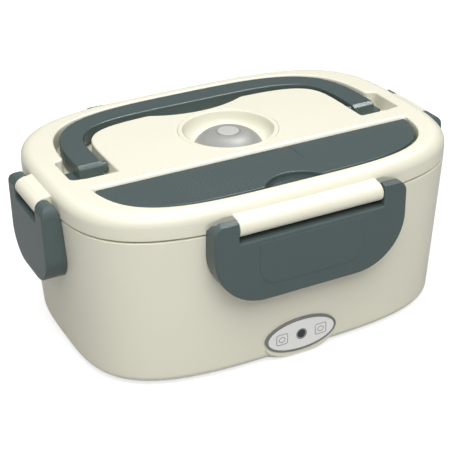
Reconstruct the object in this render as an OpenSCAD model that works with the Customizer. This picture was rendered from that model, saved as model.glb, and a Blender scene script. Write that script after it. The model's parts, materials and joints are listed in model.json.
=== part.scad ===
// Electric lunch box with a lift-off lid, four snap latches, a folding carry
// handle, a cutlery pocket under a small cover and a heated steel container.
// Origin: centre of the footprint, on the table. +Z up, the front faces -Y.

/* [Body] */
// Height of the closed box, from the table to the lid top
total_h = 99; // [94:1:115]
// Length of the body at its rim, without the latches
rim_length = 217; // [212:1:240]
// Width of the body at its rim, without the latches
rim_width = 151.4; // [149:0.2:165]
// How much narrower each side of the body is at the foot
foot_taper = 4.5; // [0:0.5:5]
// Rounding of the bottom edge
base_round = 5; // [2:0.5:6]
// Squareness of the plan outline: 2 is an ellipse, more is squarer
squareness = 3.5; // [3.4:0.1:4]
// Squareness of the body's own outline, which shows at its corners under the lid
body_squareness = 3.7; // [3.5:0.1:4]
// Wall thickness of the outer casing
wall = 2.2; // [1.8:0.1:2.4]
// Height that the feet hold the body off the table
foot_h = 1.3; // [1:0.1:2]
// Radius of a rubber foot
foot_r = 7; // [5:0.5:8]
// Thickness of the bottom cover
cover_t = 2.2; // [1.8:0.1:2.6]
// Width of the casing's ledge around the bottom cover
cover_ledge = 4; // [3:0.5:5]
// Height of the room for the heater and wiring, above the bottom cover
heater_room = 16.5; // [16:0.5:18]

/* [Lid] */
// Height of the lid above the seam
lid_h = 13; // [12.8:0.1:14]
// Width of the seam between the lid and the body
seam_gap = 0.6; // [0.5:0.1:1]
// How far the lid stands out past the body rim
lid_overhang = 0.5; // [0.3:0.1:1]
// Rounding of the lid's top edge
lid_round = 6.5; // [3:0.5:7]
// Thickness of the lid's top and of its pocket walls
lid_wall = 1.8; // [1.4:0.1:2]
// Thickness of the lid's inner plate
inner_t = 1.4; // [1:0.1:1.5]
// Height of the plug ring under the lid
plug_h = 4; // [3:0.5:5]

/* [Handle] */
// Length of the carry handle, outside to outside
handle_length = 177; // [172:1:180]
// Reach of the handle's bar behind the box centre
handle_reach = 65; // [60:0.5:65.5]
// Width of the handle's arms
arm_width = 13.2; // [11:0.2:15]
// Width of the handle's bar
bar_width = 15; // [12:0.5:16]
// Thickness of the handle
handle_t = 8; // [7:0.5:8]
// Depth of the channel that the handle folds into
channel_depth = 10; // [10:0.1:10.4]
// Gap beside the arms of the handle
arm_gap = 3; // [1:0.5:4]
// Gap behind the bar of the handle
bar_gap = 1; // [0.5:0.1:1.5]
// Finger gap in front of the bar
finger_gap = 6.5; // [5:0.5:8]
// Gap between the arms and the middle panel
panel_gap = 3.3; // [2.5:0.1:4]
// Distance of the handle's pivots behind the box centre
pivot_back = 2.7; // [2:0.1:4]
// Radius of the handle's pivot pins
handle_pin_r = 1.6; // [1.2:0.1:2]

/* [Latches] */
// Half width of the front and back latches
wide_half = 53.8; // [48:0.2:56]
// Half width of the side latches
narrow_half = 25.5; // [22:0.5:28]
// Width of the hinge ears on the front and back latches
wide_ear = 13.1; // [10:0.1:14]
// Width of the hinge ears on the side latches
narrow_ear = 10.7; // [8:0.1:12]
// Lower corner radius of the front and back latches
wide_corner = 28; // [20:1:28]
// Lower corner radius of the side latches
narrow_corner = 17; // [10:1:20]
// Upper corner radius of the latches
ear_round = 6.5; // [4:0.5:8]
// Height of the hinge line below the lid top
hinge_drop = 10.2; // [10:0.1:10.4]
// Radius of the rounded hinge bars on the lid
hinge_bar_r = 4.5; // [4:0.1:4.5]
// Height of a latch below the hinge line
latch_drop = 39.8; // [36:0.2:42]
// Thickness of a latch's walls
latch_wall = 2; // [1.6:0.1:2.4]
// Radius of the latch hinge pins
latch_pin_r = 1; // [0.8:0.1:1.3]

/* [Cutlery pocket] */
// Length of the cutlery cover
cutlery_length = 182.6; // [176:0.2:184]
// Distance of the cover's front edge from the box centre
cutlery_front = 64.4; // [63:0.2:65]
// Distance of the cover's back edge from the box centre
cutlery_back = 26.7; // [26:0.1:28]
// Thickness of the cutlery cover
cutlery_t = 2.2; // [1.8:0.1:2.6]
// Depth of the cutlery pocket below the lid top
pocket_depth = 10; // [9.6:0.1:10.4]
// Radius of the finger notch in the cover
notch_r = 18.7; // [14:0.1:24]
// Depth of the finger notch
notch_depth = 9.4; // [6:0.2:12]
// Length of the spoon
spoon_length = 150; // [140:1:154]

/* [Steam vent] */
// Radius of the vent bowl's rim
vent_rim_r = 27.2; // [26.4:0.1:27.4]
// Radius of the vent bowl's mouth
vent_mouth_r = 24.4; // [23.5:0.1:24.6]
// Depth of the vent bowl
vent_depth = 9; // [8:0.1:9.2]
// Distance of the vent behind the box centre
vent_back = 6.1; // [5:0.1:7]
// Radius of the silicone valve
valve_r = 18.5; // [15:0.5:18.5]
// Radius of the steam hole
steam_hole_r = 4; // [3:0.5:5]

/* [Container] */
// Wall thickness of the steel container
steel_t = 0.8; // [0.6:0.1:1.2]
// Gap between the container and the liner
container_gap = 3.5; // [3:0.5:5]
// Width of the container's rim
container_rim = 2.5; // [1.5:0.5:2.5]
// Place of the divider along the container
divider_x = 30; // [0:1:40]
// Thickness of the divider
divider_t = 2; // [1.5:0.5:3]

/* [Badge and sockets] */
// Length of the oval badge
badge_length = 42; // [36:1:48]
// Height of the oval badge
badge_height = 17.6; // [14:0.2:18]
// Thickness of the badge
badge_t = 1; // [0.6:0.1:1.2]
// Height of the badge centre above the table
badge_z = 13; // [12.5:0.1:13.2]
// How far the badge's pad stands out of the foot of the body
pad_out = 1.6; // [1:0.1:2.5]
// Radius of the power lamp
led_r = 2.5; // [1.5:0.1:3]
// Length of the panel that holds the power sockets
socket_panel_w = 72; // [66:1:80]
// Height of the socket panel
socket_panel_h = 17; // [16:0.5:17]
// Distance of each socket from the middle of the panel
socket_x = 16; // [14:0.5:18]

/* [Hidden] */
$fn = 64;

cream = [0.93, 0.92, 0.85];
slate = [0.33, 0.39, 0.39];
steel = [0.75, 0.76, 0.77];
white = [0.95, 0.95, 0.93];
dark = [0.12, 0.12, 0.13];
rubber = [0.85, 0.86, 0.87];
copper_red = [0.6, 0.15, 0.12];
board_green = [0.1, 0.35, 0.2];
ceramic = [0.55, 0.5, 0.42];
felt = [0.85, 0.83, 0.78];
pale = [0.9, 0.9, 0.89];

// Clearances and resolution
running = 0.05;      // radial clearance of a pin that turns in its hole
snug = 0.02;         // radial clearance of a pin that stays in its hole
seat_gap = 0.3;      // gap between pieces that move apart
fit_gap = 0.1;       // gap between fixed pieces side by side
overshoot = 1;       // how far a cut runs past the face it opens
least_round = 0.5;   // smallest rounding of an inner edge
outline_points = 72; // points around a plan outline
round_steps = 4;     // facets across a rounded edge

// Plan sizes, all half lengths from the centre
rim_a = rim_length / 2;
rim_b = rim_width / 2;
lid_a = rim_a + lid_overhang;
lid_b = rim_b + lid_overhang;
foot_b = rim_b - foot_taper;

// Heights
rim_z = total_h - lid_h - seam_gap;
lid_z = total_h - lid_h;
cover_top_z = foot_h + cover_t;
floor_z = cover_top_z + heater_room;
floor_t = 2;
plate_rise = 0.3;
plate_t = 1.5;
plate_under = floor_z - plate_t;
flange_t = 2.2;
flange_drop = 0.8;
flange_z = rim_z - flange_drop - flange_t;
inner_top_z = lid_z + inner_t;

// Liner, seal and container
ledge_w = 3.3;
ledge_h = 3;
liner_t = 1.8;
liner_inset = 10.5;
liner_a = rim_a - liner_inset;
liner_b = rim_b - liner_inset;
flange_inset = wall + seat_gap;
plug_gap = 0.6;
plug_t = 2;
seal_inset = 5;
seal_w = 4.5;
container_a = liner_a - container_gap;
container_b = liner_b - container_gap;
container_z = floor_z + floor_t + plate_rise;
container_drop = 2;
container_top_z = lid_z - plug_h - container_drop;
rim_t = 1.2;
divider_drop = 4;
divider_foot = 10;
divider_foot_t = 1.2;

// Heater
window_x = 64;
window_y = 34;
plate_lip = 4;
ptc_x = 50;
ptc_y = 30;
ptc_t = 4;
clamp_t = 1;
clamp_w = 12;
clamp_foot = 10;
clamp_screw_x = ptc_x / 2 + clamp_t + clamp_foot / 2;
clamp_screw_r = 1.4;
clamp_screw_h = 4;
clamp_head_r = 2.8;
clamp_head_h = 1.2;
thermostat_x = 52;
thermostat_r = 7;
thermostat_h = 6;
tab_w = 3;
tab_t = 0.8;
tab_h = 3;
tab_y = 3.5;
fuse_r = 1.6;
fuse_length = 12;
mat_t = 2;
mat_x = 60;
mat_y = 34;

// Bottom cover, screws and feet
cover_rim = 4;
cover_a = rim_a - foot_taper - base_round - cover_rim;
cover_b = foot_b - base_round - cover_rim;
screw_inset_x = 21;
screw_inset_y = 22.2;
screw_x = cover_a - screw_inset_x;
screw_y = cover_b - screw_inset_y;
screw_r = 1.5;
screw_length = 9;
screw_head_r = 3;
screw_head_h = 1;
slot_l = 3.6;
slot_w = 0.8;
slot_deep = 0.5;
post_r = 4;
foot_x = 78;
foot_y = 20;
foot_recess = 0.9;

// Handle and its channel
handle_sq = 3.5;
hole_sq = 4.5;
panel_sq = 4.8;
handle_a = handle_length / 2;
channel_a = handle_a + arm_gap;
channel_b = handle_reach + bar_gap;
hole_a = handle_a - arm_width;
hole_b = handle_reach - bar_width;
panel_a = hole_a - panel_gap;
panel_b = hole_b - finger_gap;
arm_front = -1.8;
pivot_rise = 0.5;
pivot_z = total_h - handle_t / 2 - pivot_rise;
pivot_boss_r = 3.2;
pin_in_handle = 5;
pin_in_lid = 6;
pin_short = 0.5;
arm_round = 2;
arm_pocket_front = -13;
arm_pocket_back = 12;
arm_pocket_out = 7.5;
arm_pocket_a = channel_a + arm_pocket_out;
arm_pocket_r = 3;
scallop_half = 28.5;
scallop_depth = 7.5;
scallop_x = -1.5;
scallop_r = (pow(scallop_half, 2) + pow(scallop_depth, 2)) / (2 * scallop_depth);

// Latches
latch_face = 4.6;
latch_reach = 14;
latch_clear = 0.35;
hinge_out_wide = 3.3;
hinge_out_narrow = 4.4;
hinge_y = lid_b + hinge_out_wide;
hinge_x = lid_a + hinge_out_narrow;
hinge_z = total_h - hinge_drop;
wide_ear_in = wide_half - wide_ear;
narrow_ear_in = narrow_half - narrow_ear;
ear_rise = 3.6;
ear_solid = 5.2;
plate_drop = 5.7;
bar_end_gap = 0.5;
web_top_drop = 4.6;
pin_in_ear = 6;
catch_h = 2;
wide_catch = 18;
narrow_catch = 10;
catch_short = 0.1;
panel_mark_half = 30;
panel_mark_top = 9.1;
panel_mark_h = 24;
panel_mark_r = 10;
panel_mark_depth = 0.3;

// Cutlery pocket, cover and spoon
cutlery_a = cutlery_length / 2;
cutlery_sq = 3.9;
cutlery_drop = 0.6;
end_gap = 0.4;
front_gap = 1;
back_gap = 0.4;
barrel_r = cutlery_t / 2;
barrel_y = -cutlery_back - barrel_r;
barrel_z = total_h - cutlery_drop - barrel_r;
barrel_in_lid = 1.2;
spoon_y = -48;
spoon_t = 1.2;
spoon_rise = 3.2;
spoon_neck = 0.62;
spoon_stem_w = 5.5;
spoon_bowl_w = 8.5;
spoon_flare = 0.35;
spoon_egg = 0.3;
spoon_steps = 28;

// Steam vent
vent_flange_t = 0.9;
vent_wall = 1.2;
vent_lip = 0.4;
valve_ring = 0.7;
vent_floor_r = valve_r + valve_ring;
vent_floor_z = total_h - vent_depth;
button_r = 6;
button_groove = 0.8;
groove_depth = 0.9;
valve_drop = 1.1;
valve_skirt = 1.6;

// Badge and lamp
pad_margin = 1.2;
pad_face_y = -foot_b - pad_out;
pad_thickness = 8;
badge_sink = 0.4;
badge_front_y = pad_face_y + badge_sink - badge_t;
lamp_rim = 0.4;
lamp_rim_t = 1.5;

// Circuit board behind the badge
board_x = 56;
board_h = 13;
board_t = 1.6;
board_depth = 12;
board_y = pad_face_y + board_depth;
board_post_x = 24;
board_post_r = 2.6;
board_screw_r = 0.9;
board_screw_h = 6;
board_head_r = 1.9;
board_head_h = 1;
block_x = 15;
block_w = 9;
block_h = 8;
block_t = 5;
block_back = board_y + board_t + block_t;

// Power sockets and their cover
socket_face_y = foot_b + pad_out;
socket_drop = 1;
socket_z = badge_z - socket_drop;
socket_w = 22;
socket_h = 12;
socket_depth = 16;
socket_hole_w = 17;
socket_hole_h = 7.6;
socket_hole_depth = 12;
socket_hole_r = 3;
contact_r = 1.1;
contact_spacing = 9.4;
contact_short = 2;
terminal_length = 5;
flap_t = 2;
flap_pin_r = 0.8;
flap_barrel_r = 1.8;
flap_half = 28;
flap_lug_w = 3;
flap_overlap = 7.5;
flap_tab_half = 6;
flap_tab_h = 2;
flap_tab_out = 1.2;
flap_z = socket_z + socket_panel_h / 2 + flap_barrel_r + seat_gap;
flap_y = socket_face_y + flap_barrel_r + seat_gap;
wire_r = 1.1;
thin_wire_r = 0.8;
wire_sides = 6;
wire_steps = 10;
wire_pair = 2.5;
wire_short = 0.15;
wire_rise = 3;
wire_sag = 2;
wire_detour = 22;
wire_dip = 3.5;

/* ---------- outlines and forms ---------- */

// One coordinate of a squared oval: the sign stays, the size follows a power
function squared(v, n) = sign(v) * pow(abs(v), 2 / n);

// Squared oval of half length a and half width b
function oval(a, b, n = squareness) = [
    for (i = [0 : outline_points - 1])
        let (t = 360 * i / outline_points)
        [a * squared(cos(t), n), b * squared(sin(t), n)]
];

// Half width of a squared oval at the place x
function oval_y(x, a, b, n = squareness) = b * pow(1 - pow(abs(x) / a, n), 1 / n);

// Solid through outlines at several heights, each [z, a, b], lowest first
module loft(levels, square_n = squareness) {
    n = outline_points;
    points = [for (l = levels) for (p = oval(l[1], l[2], square_n)) [p[0], p[1], l[0]]];
    top = (len(levels) - 1) * n;
    sides = [
        for (k = [0 : len(levels) - 2], i = [0 : n - 1])
            let (p = k * n + i, q = k * n + (i + 1) % n)
            each [[p, p + n, q + n], [p, q + n, q]]
    ];
    bottom_face = [for (i = [0 : n - 1]) i];
    top_face = [for (i = [n - 1 : -1 : 0]) top + i];
    polyhedron(points, concat([bottom_face], sides, [top_face]));
}

// How far the tapered casing has drawn in at height z
function taper_at(z) = foot_taper * (rim_z - z) / (rim_z - foot_h);

// Levels of the casing, drawn in by a margin, with a rounded bottom edge
function body_levels(margin, bottom_z, top_z) = concat(
    [for (i = [0 : round_steps])
        let (t = 90 * i / round_steps,
             r = max(base_round - margin, least_round),
             z = bottom_z + r * (1 - cos(t)),
             inset = taper_at(z) + margin + r * (1 - sin(t)))
        [z, rim_a - inset, rim_b - inset]],
    [[top_z, rim_a - taper_at(top_z) - margin, rim_b - taper_at(top_z) - margin]]
);

// Levels of the lid, drawn in by a margin, with a rounded top edge
function lid_levels(margin, bottom_z, top_z) = concat(
    [[bottom_z, lid_a - margin, lid_b - margin]],
    [for (i = [0 : round_steps])
        let (t = 90 * i / round_steps,
             r = max(lid_round - margin, least_round),
             inset = margin + r * (1 - cos(t)))
        [top_z - r * (1 - sin(t)), lid_a - inset, lid_b - inset]]
);

// Flat slab with an oval outline between two heights
module slab(a, b, z0, z1, n = squareness) {
    translate([0, 0, z0]) linear_extrude(z1 - z0) polygon(oval(a, b, n));
}

// Flat oval ring between two heights
module ring(a, b, width, z0, z1, n = squareness) {
    difference() {
        slab(a, b, z0, z1, n);
        slab(a - width, b - width, z0 - overshoot, z1 + overshoot, n);
    }
}

// Box between two opposite corners, in any order
module box(p, q) {
    low = [min(p[0], q[0]), min(p[1], q[1]), min(p[2], q[2])];
    high = [max(p[0], q[0]), max(p[1], q[1]), max(p[2], q[2])];
    translate(low) cube(high - low);
}

// Cylinder along X between two places, in any order
module rod_x(x0, x1, y, z, r) {
    translate([min(x0, x1), y, z]) rotate([0, 90, 0]) cylinder(h = abs(x1 - x0), r = r);
}

// Cylinder along Y between two places, y0 in front of y1
module rod_y(y0, y1, x, z, r) {
    translate([x, y1, z]) rotate([90, 0, 0]) cylinder(h = y1 - y0, r = r);
}

// Cylinder that stands up between two heights
module rod_z(z0, z1, x, y, r) {
    translate([x, y, z0]) cylinder(h = z1 - z0, r = r);
}

// Plate between two depths, its outline drawn in X and Z
module facing(y0, y1) {
    translate([0, y1, 0]) rotate([90, 0, 0]) linear_extrude(y1 - y0) children();
}

// Rectangle with rounded corners around its centre
module round_rect(w, h, r) {
    square([w - 2 * r, h], center = true);
    square([w, h - 2 * r], center = true);
    for (sx = [-1, 1], sy = [-1, 1]) translate([sx * (w / 2 - r), sy * (h / 2 - r)]) circle(r);
}

// Upright area of a given half width whose two lower corners are rounded
module cup(half, depth, r) {
    translate([-half, r]) square([2 * half, depth - r]);
    translate([r - half, 0]) square([2 * (half - r), r + overshoot]);
    for (s = [-1, 1]) translate([s * (half - r), r]) circle(r, $fn = 96);
}

// Each child is drawn as if it faced the front, and turned to two sides
module front_and_back() {
    for (turn = [0, 180]) rotate([0, 0, turn]) children();
}

module left_and_right() {
    for (turn = [-90, 90]) rotate([0, 0, turn]) children();
}

module screw_places() {
    for (sx = [-1, 1], sy = [-1, 1]) translate([sx * screw_x, sy * screw_y, 0]) children();
}

module foot_places() {
    for (sx = [-1, 1], sy = [-1, 1]) translate([sx * foot_x, sy * foot_y, 0]) children();
}

/* ---------- casing ---------- */

// Oval of the badge, grown outward by a margin
module badge_outline(margin) {
    a = badge_length / 2 + margin;
    b = badge_height / 2 + margin;
    translate([0, badge_z]) polygon([for (t = [0 : 5 : 355]) [a * cos(t), b * sin(t)]]);
}

// Outside of the casing with its badge pad and socket panel, all solid
module shell_form() {
    loft(body_levels(0, foot_h, rim_z), body_squareness);
    intersection() {
        facing(pad_face_y, pad_face_y + pad_thickness) badge_outline(pad_margin);
        box([-rim_a, -2 * rim_b, foot_h], [rim_a, 0, rim_z]);
    }
    facing(socket_face_y - pad_thickness, socket_face_y)
        translate([0, socket_z]) round_rect(socket_panel_w, socket_panel_h, socket_hole_r);
}

// Ribs on the casing that the lower edges of the latches snap under
module catches() {
    z0 = hinge_z - latch_drop + latch_wall + seat_gap;
    z1 = z0 + catch_h;
    front_and_back() box([-wide_catch, -foot_b, z0], [wide_catch, catch_short - lid_b, z1]);
    left_and_right() box([-narrow_catch, foot_taper - rim_a, z0], [narrow_catch, catch_short - lid_a, z1]);
}

// Ears on the casing that hold the socket cover's hinge pin
module socket_lugs() {
    inner = flap_half + seat_gap;
    outer = inner + flap_lug_w;
    for (s = [-1, 1]) difference() {
        union() {
            box([s * inner, foot_b, flap_z - flap_barrel_r], [s * outer, flap_y, flap_z + flap_barrel_r]);
            rod_x(s * inner, s * outer, flap_y, flap_z, flap_barrel_r);
        }
        rod_x(s * (inner - overshoot), s * (outer + overshoot), flap_y, flap_z, flap_pin_r + snug);
    }
}

// Posts inside the front wall for the circuit board
module board_posts() {
    for (s = [-1, 1]) rod_y(-foot_b, board_y, s * board_post_x, badge_z, board_post_r);
}

module outer_shell() {
    color(cream) difference() {
        union() {
            difference() {
                shell_form();
                loft(body_levels(wall, cover_top_z + wall, rim_z + overshoot), body_squareness);
            }
            // Ledge that carries the liner
            ring(rim_a - wall / 2, rim_b - wall / 2, ledge_w + wall / 2,
                flange_z - ledge_h, flange_z, body_squareness);
            catches();
            socket_lugs();
            board_posts();
        }
        // Opening for the bottom cover
        slab(cover_a, cover_b, foot_h - overshoot, cover_top_z, body_squareness);
        slab(cover_a - cover_ledge, cover_b - cover_ledge,
            foot_h, cover_top_z + wall + overshoot, body_squareness);
        // Seat for the badge and hole for the lamp
        facing(pad_face_y - overshoot, pad_face_y + badge_sink) badge_outline(fit_gap);
        rod_y(pad_face_y - overshoot, pad_face_y + pad_thickness, 0, badge_z, led_r + running);
        // Pilot holes in the board posts
        for (s = [-1, 1])
            rod_y(board_y - board_screw_h, board_y + overshoot,
                s * board_post_x, badge_z, board_screw_r + snug);
        // Holes for the sockets
        for (s = [-1, 1])
            facing(socket_face_y - pad_thickness - overshoot, socket_face_y + overshoot)
                translate([s * socket_x, socket_z])
                    square([socket_w + 2 * fit_gap, socket_h + 2 * fit_gap], center = true);
    }
}

module bottom_cover() {
    color(cream) difference() {
        slab(cover_a - fit_gap, cover_b - fit_gap, foot_h, cover_top_z, body_squareness);
        screw_places() {
            rod_z(foot_h - overshoot, cover_top_z + overshoot, 0, 0, screw_r + running);
            rod_z(foot_h - overshoot, foot_h + screw_head_h, 0, 0, screw_head_r + fit_gap);
        }
        foot_places() rod_z(foot_h - overshoot, foot_h + foot_recess, 0, 0, foot_r + fit_gap);
    }
}

module rubber_feet() {
    color(dark) foot_places() cylinder(h = foot_h + foot_recess, r = foot_r);
}

module bottom_screws() {
    head_top = foot_h + screw_head_h;
    color(steel) screw_places() {
        difference() {
            rod_z(foot_h, head_top, 0, 0, screw_head_r);
            for (turn = [0, 90]) rotate([0, 0, turn])
                box([-slot_l / 2, -slot_w / 2, foot_h - overshoot],
                    [slot_l / 2, slot_w / 2, foot_h + slot_deep]);
        }
        rod_z(head_top, head_top + screw_length, 0, 0, screw_r);
    }
}

module liner() {
    color(white) difference() {
        union() {
            slab(liner_a + liner_t, liner_b + liner_t, floor_z, flange_z);
            slab(rim_a - flange_inset, rim_b - flange_inset, flange_z, flange_z + flange_t);
            screw_places() rod_z(cover_top_z, floor_z + floor_t / 2, 0, 0, post_r);
        }
        slab(liner_a, liner_b, floor_z + floor_t, flange_z + flange_t + overshoot);
        box([-window_x, -window_y, floor_z - overshoot], [window_x, window_y, floor_z + floor_t + overshoot]);
        screw_places() rod_z(cover_top_z - overshoot, cover_top_z + screw_length, 0, 0, screw_r + snug);
    }
}

/* ---------- heater ---------- */

module heating_plate() {
    hole_top = plate_under + clamp_screw_h - clamp_t;
    color(steel) difference() {
        union() {
            box([-window_x - plate_lip, -window_y - plate_lip, plate_under],
                [window_x + plate_lip, window_y + plate_lip, floor_z]);
            box([fit_gap - window_x, fit_gap - window_y, plate_under],
                [window_x - fit_gap, window_y - fit_gap, floor_z + floor_t + plate_rise]);
        }
        for (s = [-1, 1])
            rod_z(plate_under - overshoot, hole_top, s * clamp_screw_x, 0, clamp_screw_r + snug);
    }
}

module ptc_heater() {
    color(ceramic) box([-ptc_x / 2, -ptc_y / 2, plate_under - ptc_t], [ptc_x / 2, ptc_y / 2, plate_under]);
}

// Steel strap that presses the heater against the plate
module heater_clamp() {
    w = clamp_w / 2;
    leg = ptc_x / 2 + clamp_t;
    low = plate_under - ptc_t - clamp_t;
    foot_low = plate_under - clamp_t;
    color(steel) difference() {
        union() {
            box([-leg, -w, low], [leg, w, low + clamp_t]);
            for (s = [-1, 1]) {
                box([s * (leg - clamp_t), -w, low], [s * leg, w, plate_under]);
                box([s * (leg - clamp_t), -w, foot_low], [s * (leg + clamp_foot), w, plate_under]);
            }
        }
        for (s = [-1, 1])
            rod_z(low, plate_under + overshoot, s * clamp_screw_x, 0, clamp_screw_r + running);
    }
}

module clamp_screws() {
    under = plate_under - clamp_t;
    color(steel) for (s = [-1, 1]) {
        rod_z(under - clamp_head_h, under, s * clamp_screw_x, 0, clamp_head_r);
        rod_z(under, under + clamp_screw_h, s * clamp_screw_x, 0, clamp_screw_r);
    }
}

// Button thermostat with two terminal tabs, left of the heater
module thermostat() {
    low = plate_under - thermostat_h;
    color(dark) {
        rod_z(low, plate_under, -thermostat_x, 0, thermostat_r);
        for (s = [-1, 1])
            box([-thermostat_x - tab_w / 2, s * (tab_y - tab_t / 2), low - tab_h],
                [-thermostat_x + tab_w / 2, s * (tab_y + tab_t / 2), low]);
    }
}

module thermal_fuse() {
    color(ceramic) rod_y(-fuse_length / 2, fuse_length / 2, thermostat_x, plate_under - fuse_r, fuse_r);
}

module insulation_mat() {
    color(felt) box([-mat_x, -mat_y, cover_top_z], [mat_x, mat_y, cover_top_z + mat_t]);
}

/* ---------- badge, lamp and board ---------- */

module badge_plate() {
    color(pale) difference() {
        facing(badge_front_y, badge_front_y + badge_t) badge_outline(0);
        rod_y(badge_front_y - overshoot, pad_face_y + overshoot, 0, badge_z, led_r + running);
    }
}

module power_led() {
    color(dark) {
        rod_y(badge_front_y, board_y, 0, badge_z, led_r);
        rod_y(board_y - lamp_rim_t, board_y, 0, badge_z, led_r + lamp_rim);
    }
}

// Board with a block of components on each side, where the wires end
module circuit_board() {
    color(board_green) difference() {
        union() {
            box([-board_x / 2, board_y, badge_z - board_h / 2],
                [board_x / 2, board_y + board_t, badge_z + board_h / 2]);
            for (s = [-1, 1])
                box([s * (block_x - block_w / 2), board_y + board_t, badge_z - block_h / 2],
                    [s * (block_x + block_w / 2), block_back, badge_z + block_h / 2]);
        }
        for (s = [-1, 1])
            rod_y(board_y - overshoot, block_back, s * board_post_x, badge_z, board_screw_r + fit_gap);
    }
}

module board_screws() {
    head_y = board_y + board_t;
    color(steel) for (s = [-1, 1]) {
        rod_y(head_y - board_screw_h, head_y, s * board_post_x, badge_z, board_screw_r);
        rod_y(head_y, head_y + board_head_h, s * board_post_x, badge_z, board_head_r);
    }
}

/* ---------- sockets and wiring ---------- */

// Two-pin power socket with its mouth at the back
module socket(x, hole_h) {
    face = socket_face_y;
    translate([x, 0, socket_z]) {
        difference() {
            facing(face - socket_depth, face) square([socket_w, socket_h], center = true);
            facing(face - socket_hole_depth, face + overshoot)
                round_rect(socket_hole_w, hole_h, socket_hole_r);
        }
        for (s = [-1, 1]) {
            pin_x = s * contact_spacing / 2;
            rod_y(face - socket_hole_depth, face - contact_short, pin_x, 0, contact_r);
            box([pin_x - tab_w / 2, face - socket_depth - terminal_length, -tab_t / 2],
                [pin_x + tab_w / 2, face - socket_depth, tab_t / 2]);
        }
    }
}

module mains_socket() {
    color(dark) socket(-socket_x, socket_hole_h);
}

module car_socket() {
    color(dark) socket(socket_x, socket_hole_h + overshoot);
}

module socket_cover() {
    low = socket_z - flap_overlap;
    y0 = socket_face_y + seat_gap;
    color(dark) difference() {
        union() {
            box([-flap_half, y0, low], [flap_half, y0 + flap_t, flap_z]);
            rod_x(-flap_half, flap_half, flap_y, flap_z, flap_barrel_r);
            // Pull tab along the lower edge
            box([-flap_tab_half, y0, low], [flap_tab_half, y0 + flap_t + flap_tab_out, low + flap_tab_h]);
        }
        rod_x(-flap_half - overshoot, flap_half + overshoot, flap_y, flap_z, flap_pin_r + running);
    }
}

module socket_cover_pin() {
    reach = flap_half + seat_gap + flap_lug_w;
    color(steel) rod_x(-reach, reach, flap_y, flap_z, flap_pin_r);
}

// Round wire swept along points, with straight cut ends
module wire(points, r) {
    m = wire_sides;
    last = len(points) - 1;
    rings = [
        for (i = [0 : last])
            let (along = points[min(i + 1, last)] - points[max(i - 1, 0)],
                 side = cross(along, [0, 0, 1]),
                 u = side / norm(side),
                 up = cross(u, along),
                 v = up / norm(up))
            for (k = [0 : m - 1]) points[i] + r * (cos(360 * k / m) * u + sin(360 * k / m) * v)
    ];
    sides = [
        for (i = [0 : last - 1], k = [0 : m - 1])
            let (p = i * m + k, q = i * m + (k + 1) % m)
            each [[p, q, q + m], [p, q + m, p + m]]
    ];
    ends = [[for (k = [m - 1 : -1 : 0]) k], [for (k = [0 : m - 1]) last * m + k]];
    polyhedron(rings, concat(sides, ends));
}

// Wire from p to q that leaves and arrives along Y, and bows out by sag between
module wire_run(from, to, sag = [0, 0, 0], r = wire_r) {
    end = [0, sign(to[1] - from[1]) * wire_short, 0];
    p = from + end;
    q = to - end;
    wire([
        for (i = [0 : wire_steps])
            let (t = i / wire_steps, ease = t * t * (3 - 2 * t), bow = pow(sin(180 * t), 2))
            p + [(q[0] - p[0]) * ease, (q[1] - p[1]) * t, (q[2] - p[2]) * ease] + bow * sag
    ], r);
}

module wiring() {
    tab_back = socket_face_y - socket_depth - terminal_length;
    outer_pin = socket_x + contact_spacing / 2;
    inner_pin = socket_x - contact_spacing / 2;
    tab_z = plate_under - thermostat_h - tab_h / 2;
    tab_face = tab_y + tab_t / 2;
    fuse_z = plate_under - fuse_r;
    inner_end = block_x - wire_pair;
    outer_end = block_x + wire_pair;
    color(copper_red) {
        for (s = [-1, 1]) {
            // From a socket, round the heater, to the board
            wire_run([s * outer_pin, tab_back, socket_z], [s * inner_end, block_back, badge_z],
                [s * wire_detour, 0, -wire_dip]);
            // From the board to one end of the heater
            wire_run([s * inner_end, block_back, badge_z + wire_rise],
                [s * inner_end, -ptc_y / 2, plate_under - ptc_t / 2], r = thin_wire_r);
        }
        // Socket to thermostat to board, on the left
        wire_run([-inner_pin, tab_back, socket_z], [-thermostat_x, tab_face, tab_z], [0, 0, wire_rise]);
        wire_run([-thermostat_x, -tab_face, tab_z], [-outer_end, block_back, badge_z], [0, 0, -wire_sag]);
        // Socket to fuse to board, on the right
        wire_run([inner_pin, tab_back, socket_z], [thermostat_x, fuse_length / 2, fuse_z]);
        wire_run([thermostat_x, -fuse_length / 2, fuse_z], [outer_end, block_back, badge_z]);
    }
}

/* ---------- container ---------- */

module food_container() {
    color(steel) difference() {
        union() {
            slab(container_a, container_b, container_z, container_top_z);
            slab(container_a + container_rim, container_b + container_rim,
                container_top_z - rim_t, container_top_z);
        }
        slab(container_a - steel_t, container_b - steel_t,
            container_z + steel_t, container_top_z + overshoot);
    }
}

// Upright wall on a narrow foot that parts the container in two
module container_divider() {
    low = container_z + steel_t;
    foot_end = divider_x + divider_t / 2 + divider_foot / 2;
    inner_a = container_a - steel_t;
    inner_b = container_b - steel_t;
    reach = oval_y(divider_x + divider_t, inner_a, inner_b) - seat_gap;
    foot_reach = oval_y(foot_end, inner_a, inner_b) - seat_gap;
    color(white) {
        box([divider_x, -reach, low], [divider_x + divider_t, reach, container_top_z - divider_drop]);
        box([foot_end - divider_foot, -foot_reach, low], [foot_end, foot_reach, low + divider_foot_t]);
    }
}

/* ---------- lid ---------- */

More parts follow.
